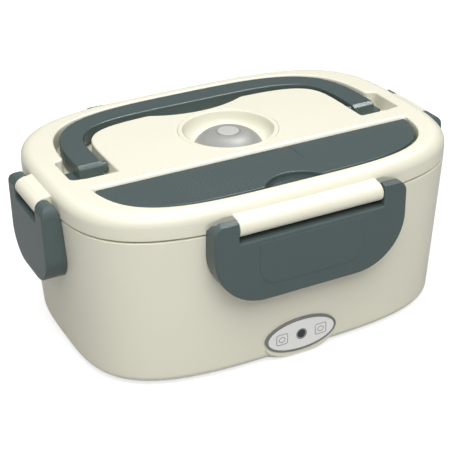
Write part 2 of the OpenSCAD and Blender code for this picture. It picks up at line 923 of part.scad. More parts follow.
// Plan of the handle's channel with a pocket at each arm's end
module channel_plan(grow) {
    pocket_w = arm_pocket_a - panel_a + 2 * grow;
    pocket_l = arm_pocket_back - arm_pocket_front + 2 * grow;
    difference() {
        union() {
            intersection() {
                polygon(oval(channel_a + grow, channel_b + grow, handle_sq));
                translate([-rim_a, arm_pocket_front - grow]) square([2 * rim_a, 2 * rim_b]);
            }
            for (s = [-1, 1])
                translate([s * (panel_a + arm_pocket_a) / 2, (arm_pocket_front + arm_pocket_back) / 2])
                    round_rect(pocket_w, pocket_l, arm_pocket_r + grow);
        }
        polygon(oval(panel_a - grow, panel_b - grow, panel_sq));
    }
    // Scallop in the panel that lets a finger under the bar
    intersection() {
        translate([scallop_x, panel_b + scallop_r - scallop_depth])
            circle(scallop_r + grow, $fn = 180);
        polygon(oval(channel_a, panel_b + bar_width, handle_sq));
    }
}

module pocket_plan(grow) {
    intersection() {
        polygon(oval(cutlery_a + end_gap + grow, cutlery_front + front_gap + grow, cutlery_sq));
        translate([-rim_a, -rim_b]) square([2 * rim_a, rim_b - cutlery_back + back_gap + grow]);
    }
}

// Walls and floor of a pocket that hangs under the lid's top
module pocket_walls() {
    translate([0, 0, inner_top_z]) linear_extrude(total_h - lid_wall / 2 - inner_top_z) children();
}

module pocket_cut(depth) {
    translate([0, 0, total_h - depth]) linear_extrude(depth + overshoot) children();
}

// Rounded bar in front of the lid that carries a latch
module hinge_bar(half, out, side) {
    y = -side - out;
    rod_x(-half, half, y, hinge_z, hinge_bar_r);
    back = lid_wall - side;
    web = [[y, hinge_z + hinge_bar_r], [back, total_h - web_top_drop], [back, lid_z], [y, lid_z]];
    translate([-half, 0, 0]) rotate([90, 0, 90]) linear_extrude(2 * half) polygon(web);
}

module lid_shell() {
    boss_in = panel_a - lid_wall - pin_in_lid;
    color(cream) difference() {
        union() {
            difference() {
                loft(lid_levels(0, lid_z, total_h));
                loft(lid_levels(wall, lid_z - overshoot, total_h - lid_wall));
            }
            pocket_walls() channel_plan(lid_wall);
            pocket_walls() pocket_plan(lid_wall);
            front_and_back() hinge_bar(wide_ear_in - bar_end_gap, hinge_out_wide, lid_b);
            left_and_right() hinge_bar(narrow_ear_in - bar_end_gap, hinge_out_narrow, lid_a);
            // Bosses behind the panel for the handle's pivot pins
            for (s = [-1, 1])
                rod_x(s * boss_in, s * (panel_a - lid_wall / 2), pivot_back, pivot_z, pivot_boss_r);
        }
        pocket_cut(channel_depth) channel_plan(0);
        pocket_cut(pocket_depth) pocket_plan(0);
        // Hole for the vent bowl, with a seat for its flange
        rod_z(total_h - vent_flange_t, total_h + overshoot, 0, vent_back, vent_rim_r + running);
        rod_z(lid_z, total_h, 0, vent_back, vent_mouth_r + vent_wall);
        // Holes for the hinge pins
        front_and_back() rod_x(-wide_half, wide_half, -hinge_y, hinge_z, latch_pin_r + snug);
        left_and_right() rod_x(-narrow_half, narrow_half, -hinge_x, hinge_z, latch_pin_r + snug);
        for (s = [-1, 1]) {
            rod_x(s * (boss_in + overshoot), s * (panel_a + overshoot),
                pivot_back, pivot_z, handle_pin_r + snug);
            rod_x(0, s * (cutlery_a + end_gap + barrel_in_lid), barrel_y, barrel_z, barrel_r + running);
        }
    }
}

module lid_inner() {
    color(white) difference() {
        union() {
            slab(lid_a - wall - fit_gap, lid_b - wall - fit_gap, lid_z, inner_top_z);
            ring(liner_a - plug_gap, liner_b - plug_gap, plug_t, lid_z - plug_h, lid_z);
        }
        rod_z(lid_z - overshoot, inner_top_z + overshoot, 0, vent_back, steam_hole_r);
    }
}

module lid_seal() {
    color(rubber)
        ring(rim_a - seal_inset, rim_b - seal_inset, seal_w, flange_z + flange_t + seat_gap, lid_z);
}

// Concave bowl with a flat flange and a tube down to the inner plate
module vent_bowl() {
    steps = 8;
    rise = vent_depth - vent_flange_t;
    flare = vent_mouth_r - vent_floor_r;
    under = total_h - vent_flange_t;
    outer = vent_mouth_r + vent_wall - running;
    low = vent_floor_z - vent_wall;
    curve = [
        for (i = [0 : steps])
            let (t = 90 * i / steps)
            [vent_floor_r + flare * sin(t), vent_floor_z + rise * (1 - cos(t))]
    ];
    profile = concat(
        [[steam_hole_r, inner_top_z], [steam_hole_r, vent_floor_z]],
        curve,
        [[vent_mouth_r + vent_lip, total_h], [vent_rim_r, total_h], [vent_rim_r, under]],
        [[outer, under], [outer, low]],
        [[steam_hole_r + vent_wall, low], [steam_hole_r + vent_wall, inner_top_z]]
    );
    color(cream) translate([0, vent_back, 0]) rotate_extrude() polygon(profile);
}

// Soft bell with a round button on top and a plug in the steam hole
module vent_valve() {
    steps = 8;
    foot = vent_floor_z + seat_gap / 2;
    top = total_h - valve_drop;
    shoulder = top - foot - valve_skirt - groove_depth / 2;
    inner = button_r + button_groove;
    plug_r = steam_hole_r - seat_gap;
    curve = [
        for (i = [0 : steps])
            let (t = 90 * i / steps)
            [inner + (valve_r - inner) * cos(t), foot + valve_skirt + shoulder * sin(t)]
    ];
    profile = concat(
        [[0, lid_z], [plug_r, lid_z], [plug_r, foot], [valve_r, foot]],
        curve,
        [[button_r, top - groove_depth], [button_r - groove_depth / 2, top], [0, top]]
    );
    color(rubber) translate([0, vent_back, 0]) rotate_extrude() polygon(profile);
}

module cutlery_cover() {
    barrel_end = cutlery_a + barrel_in_lid / 2;
    z1 = total_h - cutlery_drop;
    color(slate) difference() {
        union() {
            translate([0, 0, z1 - cutlery_t]) linear_extrude(cutlery_t) intersection() {
                polygon(oval(cutlery_a, cutlery_front, cutlery_sq));
                translate([-rim_a, -rim_b]) square([2 * rim_a, rim_b + barrel_y]);
            }
            rod_x(-barrel_end, barrel_end, barrel_y, barrel_z, barrel_r);
        }
        rod_z(z1 - cutlery_t - overshoot, z1 + overshoot, 0, notch_depth - cutlery_front - notch_r, notch_r);
    }
}

// Share of the spoon's bowl that lies before the share t of its length
function bowl_share(t) = (t - spoon_neck) / (1 - spoon_neck);

// Half width of the spoon: a slim stem, then an egg-shaped bowl
function spoon_width(t) = t < spoon_neck
    ? spoon_stem_w * (1 + spoon_flare * pow(cos(90 * t / spoon_neck), 2))
    : let (u = bowl_share(t))
        spoon_stem_w * (1 - pow(u, 6)) + spoon_bowl_w * sin(180 * u) * (1 - spoon_egg * u);

// Height of the spoon's edge above the pocket floor, and depth of its bowl
function spoon_edge(t) = spoon_rise * (t < spoon_neck ? pow(t / spoon_neck, 2) : 1);
function spoon_dip(t) = t < spoon_neck ? 0 : spoon_rise * sin(180 * bowl_share(t));

module spoon() {
    steps = spoon_steps;
    // Places across the sheet: share of the half width, share of the dip
    across = [[-1, 0], [-0.5, 0.8], [0.5, 0.8], [1, 0]];
    m = len(across);
    sheet = [
        for (i = [0 : steps])
            let (t = i / steps, half = max(spoon_width(t), spoon_t), low = fit_gap + spoon_edge(t))
            for (p = across)
                [spoon_length * (t - 0.5), half * p[0], low - spoon_dip(t) * p[1]]
    ];
    n = len(sheet);
    points = concat(sheet, [for (p = sheet) p + [0, 0, spoon_t]]);
    upper = [
        for (i = [0 : steps - 1], k = [0 : m - 2])
            let (p = n + i * m + k)
            each [[p, p + 1, p + m + 1], [p, p + m + 1, p + m]]
    ];
    under = [for (f = upper) [f[2] - n, f[1] - n, f[0] - n]];
    // Edge of the sheet, walked once round
    loop = concat(
        [for (k = [0 : m - 2]) k], [for (i = [0 : steps - 1]) i * m + m - 1],
        [for (k = [m - 1 : -1 : 1]) steps * m + k], [for (i = [steps : -1 : 1]) i * m]
    );
    rim = [
        for (i = [0 : len(loop) - 1])
            let (p = loop[i], q = loop[(i + 1) % len(loop)])
            each [[p, q, q + n], [p, q + n, p + n]]
    ];
    color(steel) translate([0, spoon_y, total_h - pocket_depth])
        polyhedron(points, concat(under, upper, rim));
}

/* ---------- handle ---------- */

module handle() {
    z0 = total_h - handle_t;
    front = arm_front;
    color(slate) difference() {
        union() {
            translate([0, 0, z0]) linear_extrude(handle_t) difference() {
                polygon(oval(handle_a, handle_reach, handle_sq));
                polygon(oval(hole_a, hole_b, hole_sq));
                translate([-rim_a, -2 * rim_b]) square([2 * rim_a, 2 * rim_b + front]);
            }
            // Bosses that close the gap to the panel at the pivots
            for (s = [-1, 1])
                rod_x(s * (panel_a + seat_gap), s * (hole_a + overshoot), pivot_back, pivot_z, pivot_boss_r);
        }
        // Rounded front ends of the arms
        difference() {
            box([-rim_a, front - overshoot, z0 - overshoot],
                [rim_a, front + arm_round, total_h + overshoot]);
            for (z = [z0 + arm_round, total_h - arm_round])
                rod_x(-2 * rim_a, 2 * rim_a, front + arm_round, z, arm_round);
            box([-rim_a, front - overshoot, z0 + arm_round],
                [rim_a, front + arm_round, total_h - arm_round]);
        }
        for (s = [-1, 1])
            rod_x(s * panel_a, s * (hole_a + pin_in_handle), pivot_back, pivot_z, handle_pin_r + running);
    }
}

module handle_pins() {
    inner = panel_a - lid_wall - pin_in_lid + overshoot;
    outer = hole_a + pin_in_handle - pin_short;
    color(steel) for (s = [-1, 1]) rod_x(s * inner, s * outer, pivot_back, pivot_z, handle_pin_r);
}

/* ---------- latches ---------- */

// Face of a latch, drawn in by a margin: lower corners deep, upper ones small
module latch_plan(half, low_r, margin) {
    z0 = hinge_z - latch_drop + margin;
    z1 = hinge_z + ear_rise - margin;
    intersection() {
        translate([0, z0]) cup(half - margin, z1 - z0, low_r - margin);
        translate([0, z1]) mirror([0, 1]) cup(half - margin, z1 - z0, ear_round - margin);
    }
}

// Hollow latch at the front, hinged a little in front of the lid's side
module latch(half, ear, low_r, axis_y) {
    face_y = -axis_y - latch_face;
    back_y = -axis_y + latch_reach;
    ear_in = half - ear;
    difference() {
        facing(face_y, back_y) latch_plan(half, low_r, 0);
        // Notch around the lid's hinge bar
        box([-ear_in, face_y - overshoot, hinge_z - plate_drop], [ear_in, back_y + overshoot, total_h]);
        // Hollow behind the face plate, below the ears
        intersection() {
            facing(face_y + latch_wall, back_y + overshoot) latch_plan(half, low_r, latch_wall);
            box([-half, face_y, 0], [half, back_y + overshoot, hinge_z - ear_solid]);
        }
        // Rounded backs of the ears, which turn clear of the lid
        difference() {
            box([-half - overshoot, -axis_y, hinge_z], [half + overshoot, back_y + overshoot, total_h]);
            rod_x(-half - 2 * overshoot, half + 2 * overshoot, -axis_y, hinge_z, ear_rise);
        }
        rod_x(-ear_in - pin_in_ear, ear_in + pin_in_ear, -axis_y, hinge_z, latch_pin_r + running);
    }
}

// Room that every latch leaves around the lid and the body
module latch_room() {
    slab(lid_a + latch_clear, lid_b + latch_clear, 0, total_h + overshoot);
}

module wide_latch() {
    mark_z = hinge_z - panel_mark_top - panel_mark_h;
    difference() {
        latch(wide_half, wide_ear, wide_corner, hinge_y);
        latch_room();
        // Shallow recess in the face
        facing(-hinge_y - latch_face - overshoot, -hinge_y - latch_face + panel_mark_depth)
            translate([0, mark_z]) cup(panel_mark_half, panel_mark_h, panel_mark_r);
    }
}

module narrow_latch(turn) {
    difference() {
        rotate(turn) latch(narrow_half, narrow_ear, narrow_corner, hinge_x);
        latch_room();
    }
}

module front_latch() {
    color(slate) wide_latch();
}

module back_latch() {
    color(slate) rotate(180) wide_latch();
}

module left_latch() {
    color(slate) narrow_latch(-90);
}

module right_latch() {
    color(slate) narrow_latch(90);
}

module wide_latch_pins() {
    reach = wide_ear_in + pin_in_ear - pin_short;
    color(steel) front_and_back() rod_x(-reach, reach, -hinge_y, hinge_z, latch_pin_r);
}

module narrow_latch_pins() {
    reach = narrow_ear_in + pin_in_ear - pin_short;
    color(steel) left_and_right() rod_x(-reach, reach, -hinge_x, hinge_z, latch_pin_r);
}

outer_shell();
bottom_cover();
rubber_feet();
bottom_screws();
liner();
heating_plate();
ptc_heater();
heater_clamp();
clamp_screws();
thermostat();
thermal_fuse();
insulation_mat();
circuit_board();
board_screws();
power_led();
badge_plate();
mains_socket();
car_socket();
wiring();
socket_cover();
socket_cover_pin();
food_container();
container_divider();
lid_shell();
lid_inner();
lid_seal();
vent_bowl();
vent_valve();
cutlery_cover();
spoon();
handle();
handle_pins();
front_latch();
back_latch();
left_latch();
right_latch();
wide_latch_pins();
narrow_latch_pins();
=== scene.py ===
# %% [markdown]
# # An electric lunch box, dressed for the camera
# The real object is a cream plastic box with a lift-off lid, four slate snap latches, a carry
# handle that folds flat, a small cover over a cutlery pocket and a soft steam valve. The packed
# model already has every part in its place, with the joints between them. This lesson replaces
# the parts that show with smooth, rounded meshes in the same places, and gives every part the
# finish of its real material.

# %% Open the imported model
import json

import bmesh
import bpy
import numpy as np
from mathutils import Matrix, Vector


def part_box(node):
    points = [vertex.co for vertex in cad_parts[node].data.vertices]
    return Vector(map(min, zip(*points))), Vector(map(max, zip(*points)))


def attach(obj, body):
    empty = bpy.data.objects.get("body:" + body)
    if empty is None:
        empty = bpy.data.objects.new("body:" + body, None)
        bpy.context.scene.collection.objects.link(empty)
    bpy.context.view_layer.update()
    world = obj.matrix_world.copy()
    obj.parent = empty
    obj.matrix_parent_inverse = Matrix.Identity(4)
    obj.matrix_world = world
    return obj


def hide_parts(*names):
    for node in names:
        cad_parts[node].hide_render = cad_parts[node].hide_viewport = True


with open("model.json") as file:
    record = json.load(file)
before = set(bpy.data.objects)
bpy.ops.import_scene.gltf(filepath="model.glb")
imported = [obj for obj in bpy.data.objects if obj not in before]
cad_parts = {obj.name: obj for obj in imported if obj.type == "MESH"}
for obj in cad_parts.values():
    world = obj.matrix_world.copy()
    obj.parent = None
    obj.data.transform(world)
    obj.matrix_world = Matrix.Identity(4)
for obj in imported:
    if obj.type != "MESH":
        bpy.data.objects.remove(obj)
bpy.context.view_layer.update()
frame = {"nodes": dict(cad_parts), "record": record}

# %% [markdown]
# ## The camera
# The box was seen from its front left, from 28 degrees above the table. A camera can be dragged
# into place by hand, but a view that has to match a photograph is easier to state as angles: how
# far round, how high, and a slight roll. The camera's three axes are worked out from them and
# become the columns of its matrix.

# %% Camera
AROUND, ABOVE, ROLL = np.radians([-26.78, 28.0, -1.14])
DISTANCE = 0.6745
AIM = Vector((-0.0061, 0, 0.0446))
SENSOR_MM = 36
FOCAL_PIXELS, FRAME_PIXELS = 1222.8, 450


def direction(around, above):
    """Unit vector away from the box; both angles in radians, around from the front to the right."""
    level = np.cos(above)
    return Vector((np.sin(around) * level, -np.cos(around) * level, np.sin(above)))


def add_camera():
    back = direction(AROUND, ABOVE)
    level = Vector((0, 0, 1)).cross(back).normalized()
    upright = back.cross(level)
    right = np.cos(ROLL) * level + np.sin(ROLL) * upright
    up = np.cos(ROLL) * upright - np.sin(ROLL) * level
    camera = bpy.data.objects.new("camera", bpy.data.cameras.new("camera"))
    camera.data.sensor_width = SENSOR_MM
    camera.data.lens = SENSOR_MM * FOCAL_PIXELS / FRAME_PIXELS
    bpy.context.scene.collection.objects.link(camera)
    turn = Matrix((right, up, back)).transposed().to_4x4()
    camera.matrix_world = Matrix.Translation(AIM + back * DISTANCE) @ turn
    bpy.context.scene.camera = camera
    return camera


camera = add_camera()
print("camera at", [round(v, 3) for v in camera.location], "lens", round(camera.data.lens, 1), "mm")

# %% [markdown]
# ## Shader arithmetic
# A finish is easier to read as a formula than as a list of links. It could be built by hand in the
# shader editor, but nothing in the file would then say why. So `Signal` wraps the output of a
# node, and `1 - mask` or `grain * 0.2 + 0.3` adds the Math nodes by itself.


# %% Signal
class Signal:
    """The output of a node, which numbers and other signals can be combined with."""

    def __init__(self, recipe, socket):
        self.recipe, self.socket = recipe, socket

    def _math(self, operation, first, second):
        return self.recipe.add("ShaderNodeMath", {0: first, 1: second}, operation=operation)

    def __add__(self, other):
        return self._math("ADD", self, other)

    def __radd__(self, other):
        return self._math("ADD", other, self)

    def __sub__(self, other):
        return self._math("SUBTRACT", self, other)

    def __rsub__(self, other):
        return self._math("SUBTRACT", other, self)

    def __mul__(self, other):
        return self._math("MULTIPLY", self, other)

    def __rmul__(self, other):
        return self._math("MULTIPLY", other, self)


print("signals can be added, subtracted and multiplied")

# %% [markdown]
# `Recipe` holds the nodes of one material or of the world. Its `add` makes any node: first its
# settings, then the values or links of its sockets. One such method is enough for every kind of
# node, so none needs code of its own.


# %% Recipe
class Recipe:
    """The nodes of one material or of the world, all made by one method."""

    def __init__(self, owner):
        owner.use_nodes = True
        self.owner, self.tree = owner, owner.node_tree
        self.tree.nodes.clear()

    def add(self, kind, inputs=None, output=0, **settings):
        node = self.tree.nodes.new(kind)
        for name, value in settings.items():
            setattr(node, name, value)
        for key, value in (inputs or {}).items():
            if isinstance(value, Signal):
                self.tree.links.new(value.socket, node.inputs[key])
            else:
                node.inputs[key].default_value = value
        return Signal(self, node.outputs[output]) if node.outputs else None


print("materials already in the file:", len(bpy.data.materials))

# %% [markdown]
# `Finish` is the recipe of a material, with short names for the few things that a finish is mixed
# from: a blend of two colours, noise, a bump and the surface itself. Only colour, roughness and
# bump ever vary over a surface here, because those can be baked into pictures later.


# %% Finish
class Finish(Recipe):
    """The recipe of one material; the Mix node has a set of sockets for colours."""

    COLOUR_MIX_SOCKETS = (0, 6, 7)
    COLOUR_MIX_RESULT = 2

    def __init__(self, name):
        super().__init__(bpy.data.materials.new(name))

    def mix(self, share, first, second):
        """Colour between two colours, by a share from 0 to 1."""
        sockets = dict(zip(self.COLOUR_MIX_SOCKETS, (share, first, second)))
        return self.add("ShaderNodeMix", sockets, self.COLOUR_MIX_RESULT, data_type="RGBA")

    def noise(self, scale, detail=2.0, stretch=(1, 1, 1)):
        """Noise in the space of the piece, from 0 to 1; scale is in bumps per metre."""
        place = self.add("ShaderNodeTexCoord", output="Object")
        place = self.add("ShaderNodeMapping", {"Vector": place, "Scale": stretch})
        return self.add("ShaderNodeTexNoise", {"Vector": place, "Scale": scale, "Detail": detail})

    def bump(self, height, depth):
        """Normal of a surface whose height varies by depth metres."""
        return self.add("ShaderNodeBump", {"Height": height, "Distance": depth, "Strength": 1.0})

    def surface(self, **sockets):
        """The material with a Principled shader, whose sockets are named by words."""
        named = {name.replace("_", " ").title().replace("Ior", "IOR"): v for name, v in sockets.items()}
        shader = self.add("ShaderNodeBsdfPrincipled", named)
        self.add("ShaderNodeOutputMaterial", {"Surface": shader})
        return self.owner


print("a colour mix uses the sockets", Finish.COLOUR_MIX_SOCKETS)

# %% [markdown]
# ## Colours
# The colours could be typed as the linear values that the shader works in, but those say little to
# the eye. They are written as a screen shows them and turned into linear light. Cream and slate
# were judged on parts of the box that face the light squarely. The handle and the cover get a
# darker copy of the slate: painted shade against the extra light that their upward faces reflect.


# %% Colours
def shown(red, green, blue):
    """Linear colour of a colour given in screen values from 0 to 255."""
    values = np.array([red, green, blue]) / 255
    linear = np.where(values <= 0.04045, values / 12.92, ((values + 0.055) / 1.055) ** 2.4)
    return (*[float(v) for v in linear], 1.0)


def dimmed(colour, share):
    """The colour with only that share of its light."""
    return tuple(c * share for c in colour[:3]) + (1.0,)


# The badge's white is brighter than the white plastic, as painted light against the latch's shadow on it.
CREAM, WHITE, BRIGHTENED_BADGE_WHITE = shown(247, 244, 224), shown(236, 236, 232), shown(252, 252, 249)
# The darker slate is painted shade for the handle and the cover, against the light their tops reflect.
SLATE, SHADED_SLATE = shown(90, 104, 103), shown(82, 96, 95)
# The bell's grey is darkened as painted shade on its slope, and the button's grey is lightened as painted
# light on its flat top.
SHADED_BELL_GREY, LIT_BUTTON_GREY = shown(160, 160, 157), shown(200, 200, 196)
BLACK, MARK_GREY = shown(34, 35, 37), shown(133, 131, 130)
print("cream", [round(v, 3) for v in CREAM[:3]], "slate", [round(v, 3) for v in SLATE[:3]])

# %% [markdown]
# ## Moulded plastic
# Both the cream and the slate parts are injection-moulded with a fine spark-eroded grain, which
# breaks up the highlights a little without being seen by itself. A picture of plastic could be
# wrapped round the parts, but it would stretch at their edges. A fine noise in the space of each
# part gives the grain instead, and a slow one makes colour and gloss vary slightly, as they do on
# real mouldings.

# %% Moulded plastic
GRAIN_SCALE, CLOUD_SCALE = 1500, 18


def moulded(name, colour, gloss, grain=6e-6, cloud=0.03, shine=0.5):
    """Plastic with a grain that deep in metres and a colour that varies by the share of cloud."""
    finish = Finish(name)
    fine = finish.noise(GRAIN_SCALE, detail=3)
    slow = finish.noise(CLOUD_SCALE, detail=1)
    return finish.surface(
        base_color=finish.mix(slow, dimmed(colour, 1 - 2 * cloud), colour),
        roughness=(1 - gloss) + 0.08 * (fine - 0.5) + 0.06 * (slow - 0.5),
        specular_ior_level=shine,
        normal=finish.bump(fine, grain),
    )


cream_plastic = moulded("cream_plastic", CREAM, gloss=0.62, cloud=0.008)
slate_plastic = moulded("slate_plastic", SLATE, gloss=0.76, cloud=0.02, shine=0.16)
# The satin and matt slates carry the darker slate, as painted shade on the handle and the cover.
shaded_slate_satin = moulded("shaded_slate_satin", SHADED_SLATE, gloss=0.77, grain=2e-6, cloud=0.03, shine=0.2)
shaded_slate_matt = moulded("shaded_slate_matt", SHADED_SLATE, gloss=0.74, grain=3e-6, cloud=0.05, shine=0.18)
white_plastic = moulded("white_plastic", WHITE, gloss=0.55, cloud=0.01)
dark_plastic = moulded("dark_plastic", BLACK, gloss=0.5)
# The badge's brighter white is painted light against the latch's shadow.
badge_white = moulded("badge_white", BRIGHTENED_BADGE_WHITE, gloss=0.7, cloud=0.005)
badge_grey = moulded("badge_grey", MARK_GREY, gloss=0.6, cloud=0.01)
lamp_dark = moulded("lamp_dark", shown(62, 68, 66), gloss=0.82, cloud=0.1)
board_green = moulded("board_green", shown(38, 92, 58), gloss=0.5, cloud=0.1)
wire_rubber = moulded("wire_rubber", shown(150, 44, 36), gloss=0.5)
print("moulded finishes made")

# %% [markdown]
# ## Silicone, metal, ceramic and felt
# Silicone lets a little light in, so it has some subsurface scattering. Drawn steel has long fine
# lines, which could be modelled as scratches but are far too thin for that: a noise stretched
# along one axis gives them. Rubber, the ceramic heater and the felt mat are dull and coarse.


# %% Other finishes
def soft_silicone(name, colour):
    finish = Finish(name)
    dust = finish.noise(400, detail=4)
    return finish.surface(
        base_color=finish.mix(dust, dimmed(colour, 0.96), colour),
        roughness=0.46 + 0.12 * (dust - 0.5),
        normal=finish.bump(dust, 8e-6),
        subsurface_weight=0.12,
        subsurface_scale=0.004,
        subsurface_radius=(1.0, 0.95, 0.9),
    )


def drawn_metal(name, colour, roughness, stretch):
    finish = Finish(name)
    lines = finish.noise(700, detail=2, stretch=stretch)
    return finish.surface(
        base_color=finish.mix(lines, dimmed(colour, 0.9), colour),
        metallic=1.0,
        roughness=roughness + 0.06 * (lines - 0.5),
        normal=finish.bump(lines, 2e-7),
    )


def coarse(name, colour, scale, depth, roughness=0.85):
    finish = Finish(name)
    lumps = finish.noise(scale, detail=6)
    return finish.surface(
        base_color=finish.mix(lumps, dimmed(colour, 0.75), colour),
        roughness=roughness + 0.1 * (lumps - 0.5),
        normal=finish.bump(lumps, depth),
    )


# The bell's silicone is darkened as painted shade; its paler copy on the button is painted light.
silicone = soft_silicone("silicone", SHADED_BELL_GREY)
lit_button_silicone = soft_silicone("lit_button_silicone", LIT_BUTTON_GREY)
dark_rubber = coarse("dark_rubber", shown(52, 53, 55), 1100, 2e-5, roughness=0.62)
steel = drawn_metal("steel", shown(205, 206, 208), 0.26, (1, 0.04, 1))
spring_steel = drawn_metal("spring_steel", shown(168, 170, 174), 0.34, (0.05, 1, 1))
screw_steel = drawn_metal("screw_steel", shown(180, 181, 184), 0.3, (1, 1, 0.1))
aluminium = drawn_metal("aluminium", shown(214, 216, 219), 0.36, (0.04, 1, 1))
ceramic_block = coarse("ceramic_block", shown(196, 188, 172), 900, 3e-5, roughness=0.7)
felt = coarse("felt", shown(222, 218, 208), 2600, 1.2e-4)
print("silicone, rubber, metal, ceramic and felt made")

# %% [markdown]
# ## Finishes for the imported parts
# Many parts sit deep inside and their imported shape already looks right. Those could be modelled
# again, but nothing would be gained, so they keep their shape and only get the finish of the
# material that the record names. The parts that are replaced further down are hidden then.

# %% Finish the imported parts
BY_SLOT = {
    "cream_plastic": cream_plastic, "slate_plastic": slate_plastic, "white_plastic": white_plastic,
    "dark_plastic": dark_plastic, "dark_rubber": dark_rubber, "silicone": silicone, "steel": steel,
    "spring_steel": spring_steel, "screw_steel": screw_steel, "aluminium": aluminium,
    "ceramic_block": ceramic_block, "felt": felt, "board_green": board_green,
    "lamp_dark": lamp_dark, "badge_white": badge_white, "wire_rubber": wire_rubber,
}
slot_of = {part["node"]: part["material_slot"] for part in frame["record"]["subparts"]}
for node, piece in frame["nodes"].items():
    piece.data.materials.clear()
    piece.data.materials.append(BY_SLOT[slot_of[node]])
print(len(frame["nodes"]), "packed parts finished")

# %% [markdown]
# ## Outlines
# Nearly every part of the box is an outline with a height. The plan outlines are squared ovals,
# whose one number says how square they are; a rectangle with rounded corners would show flat
# sides, which the box doesn't have. Points come at even steps, so that the facets are of one size
# all round.

# %% Squared ovals
MM = 0.001
ROUND_POINTS, FINE_POINTS = 288, 4096
LID_SQUARE, BODY_SQUARE = 3.5, 3.6


def even(points, count):
    """The same closed outline, with its points at even steps along it."""
    closed = np.vstack([points, points[:1]])
    along = np.concatenate([[0], np.cumsum(np.hypot(*np.diff(closed, axis=0).T))])
    wanted = np.linspace(0, along[-1], count, endpoint=False)
    return np.c_[np.interp(wanted, along, closed[:, 0]), np.interp(wanted, along, closed[:, 1])]


def oval(a, b, square, count=ROUND_POINTS):
    """Squared oval that reaches a along x and b along y."""
    t = np.linspace(0, 2 * np.pi, FINE_POINTS, endpoint=False)
    c, s = np.cos(t), np.sin(t)
    x = a * np.sign(c) * np.abs(c) ** (2 / square)
    y = b * np.sign(s) * np.abs(s) ** (2 / square)
    return even(np.c_[x, y], count)


def ellipse(a, b, height, count=160):
    """Plain ellipse in the front view, with its middle at that height."""
    t = np.linspace(0, 2 * np.pi, count, endpoint=False)
    return np.c_[a * np.cos(t), height + b * np.sin(t)]


def arc(centre, radius, start, end, steps=8):
    """Points on a circle, from one angle in degrees to another."""
    t = np.radians(np.linspace(start, end, steps + 1))
    return [(centre[0] + radius * np.cos(a), centre[1] + radius * np.sin(a)) for a in t]


print("an oval outline has", len(oval(109, 76, LID_SQUARE)), "points")

# %% [markdown]
# ## Outlines from distances
# The handle's channel is an oval, two pockets and a panel, joined and cut with rounded corners. To
# work out every corner by hand would be long. Instead each shape is a rule that gives a point's
# distance from its edge, negative inside. Rules join and cut with a rounding of a given radius,
# and the line where the distance is zero is the outline.


# %% Distance rules
def oval_edge(x, y, a, b, square):
    """Distance from a squared oval, exact near its edge."""
    u, v = np.abs(x) / a + 1e-9, np.abs(y) / b + 1e-9
    reach = (u**square + v**square) ** (1 / square)
    slope = reach ** (1 - square) * np.hypot(u ** (square - 1) / a, v ** (square - 1) / b)
    return (reach - 1) / slope


def box_edge(x, y, low, high, radius=0.0):
    """Distance from a rectangle between two corners, its own corners rounded."""
    centre = (np.array(low) + np.array(high)) / 2
    half = (np.array(high) - np.array(low)) / 2 - radius
    qx, qy = np.abs(x - centre[0]) - half[0], np.abs(y - centre[1]) - half[1]
    outside = np.hypot(np.maximum(qx, 0), np.maximum(qy, 0))
    return outside + np.minimum(np.maximum(qx, qy), 0) - radius


def disc_edge(x, y, centre, radius):
    return np.hypot(x - centre[0], y - centre[1]) - radius


def both(first, second, radius):
    """What lies in both shapes, with new corners rounded."""
    corner = np.hypot(np.maximum(radius + first, 0), np.maximum(radius + second, 0))
    return np.minimum(-radius, np.maximum(first, second)) + corner


def either(first, second, radius):
    """What lies in one shape or the other."""
    return -both(-first, -second, radius)


def without(first, second, radius):
    """What is left of the first shape when the second is cut out of it."""
    return both(first, -second, radius)


print("a point 5 mm outside a box is at", box_edge(15.0, 0.0, (-10, -10), (10, 10)), "mm")

# %% [markdown]
# ## Tracing an outline
# The rule is worked out on a grid. A cell of the grid whose corners are neither all inside nor all
# outside holds a short piece of the outline. Each piece runs from the cell's edge where the shape
# is left to the edge where it is entered, so the pieces chain into closed loops by themselves.


# %% Trace an outline
def border_steps(inside):
    """For each grid edge that the outline crosses, the next one that it crosses."""
    corners = inside[:-1, :-1] * 1 + inside[1:, :-1] + inside[1:, 1:] + inside[:-1, 1:]
    after = {}
    for i, j in np.argwhere((corners > 0) & (corners < 4)):
        walk = [(i, j), (i + 1, j), (i + 1, j + 1), (i, j + 1), (i, j)]
        leave, enter = [], []
        for p, q in zip(walk, walk[1:]):
            if inside[p] != inside[q]:
                (leave if inside[p] else enter).append((min(p, q), max(p, q)))
        after.update(zip(leave, reversed(enter)))
    return after


def trace(rule, low, high, count, step=0.5):
    """The longest outline on which rule(x, y) is zero, in a window from one corner to the other."""
    xs, ys = np.arange(low[0], high[0] + step, step), np.arange(low[1], high[1] + step, step)
    value = rule(*np.meshgrid(xs, ys, indexing="ij"))
    after = border_steps(value < 0)
    loops = []
    while after:
        edge, loop = next(iter(after)), []
        while edge in after:
            p, q = edge
            share = value[p] / (value[p] - value[q])
            x = xs[p[0]] + share * (xs[q[0]] - xs[p[0]])
            y = ys[p[1]] + share * (ys[q[1]] - ys[p[1]])
            loop.append((x, y))
            edge = after.pop(edge)
        loops.append(np.array(loop))
    return even(max(loops, key=len), count)


def rounded_box(width, height, centre, radius, count=96):
    """Outline of a rectangle with rounded corners."""
    low = (centre[0] - width / 2, centre[1] - height / 2)
    high = (centre[0] + width / 2, centre[1] + height / 2)

    def edge(x, y):
        return box_edge(x, y, low, high, radius)

    return trace(edge, (low[0] - 2, low[1] - 2), (high[0] + 2, high[1] + 2), count, step=0.2)


print("a traced 20 mm box is", np.ptp(rounded_box(20, 10, (0, 0), 2)[:, 0]).round(2), "mm wide")

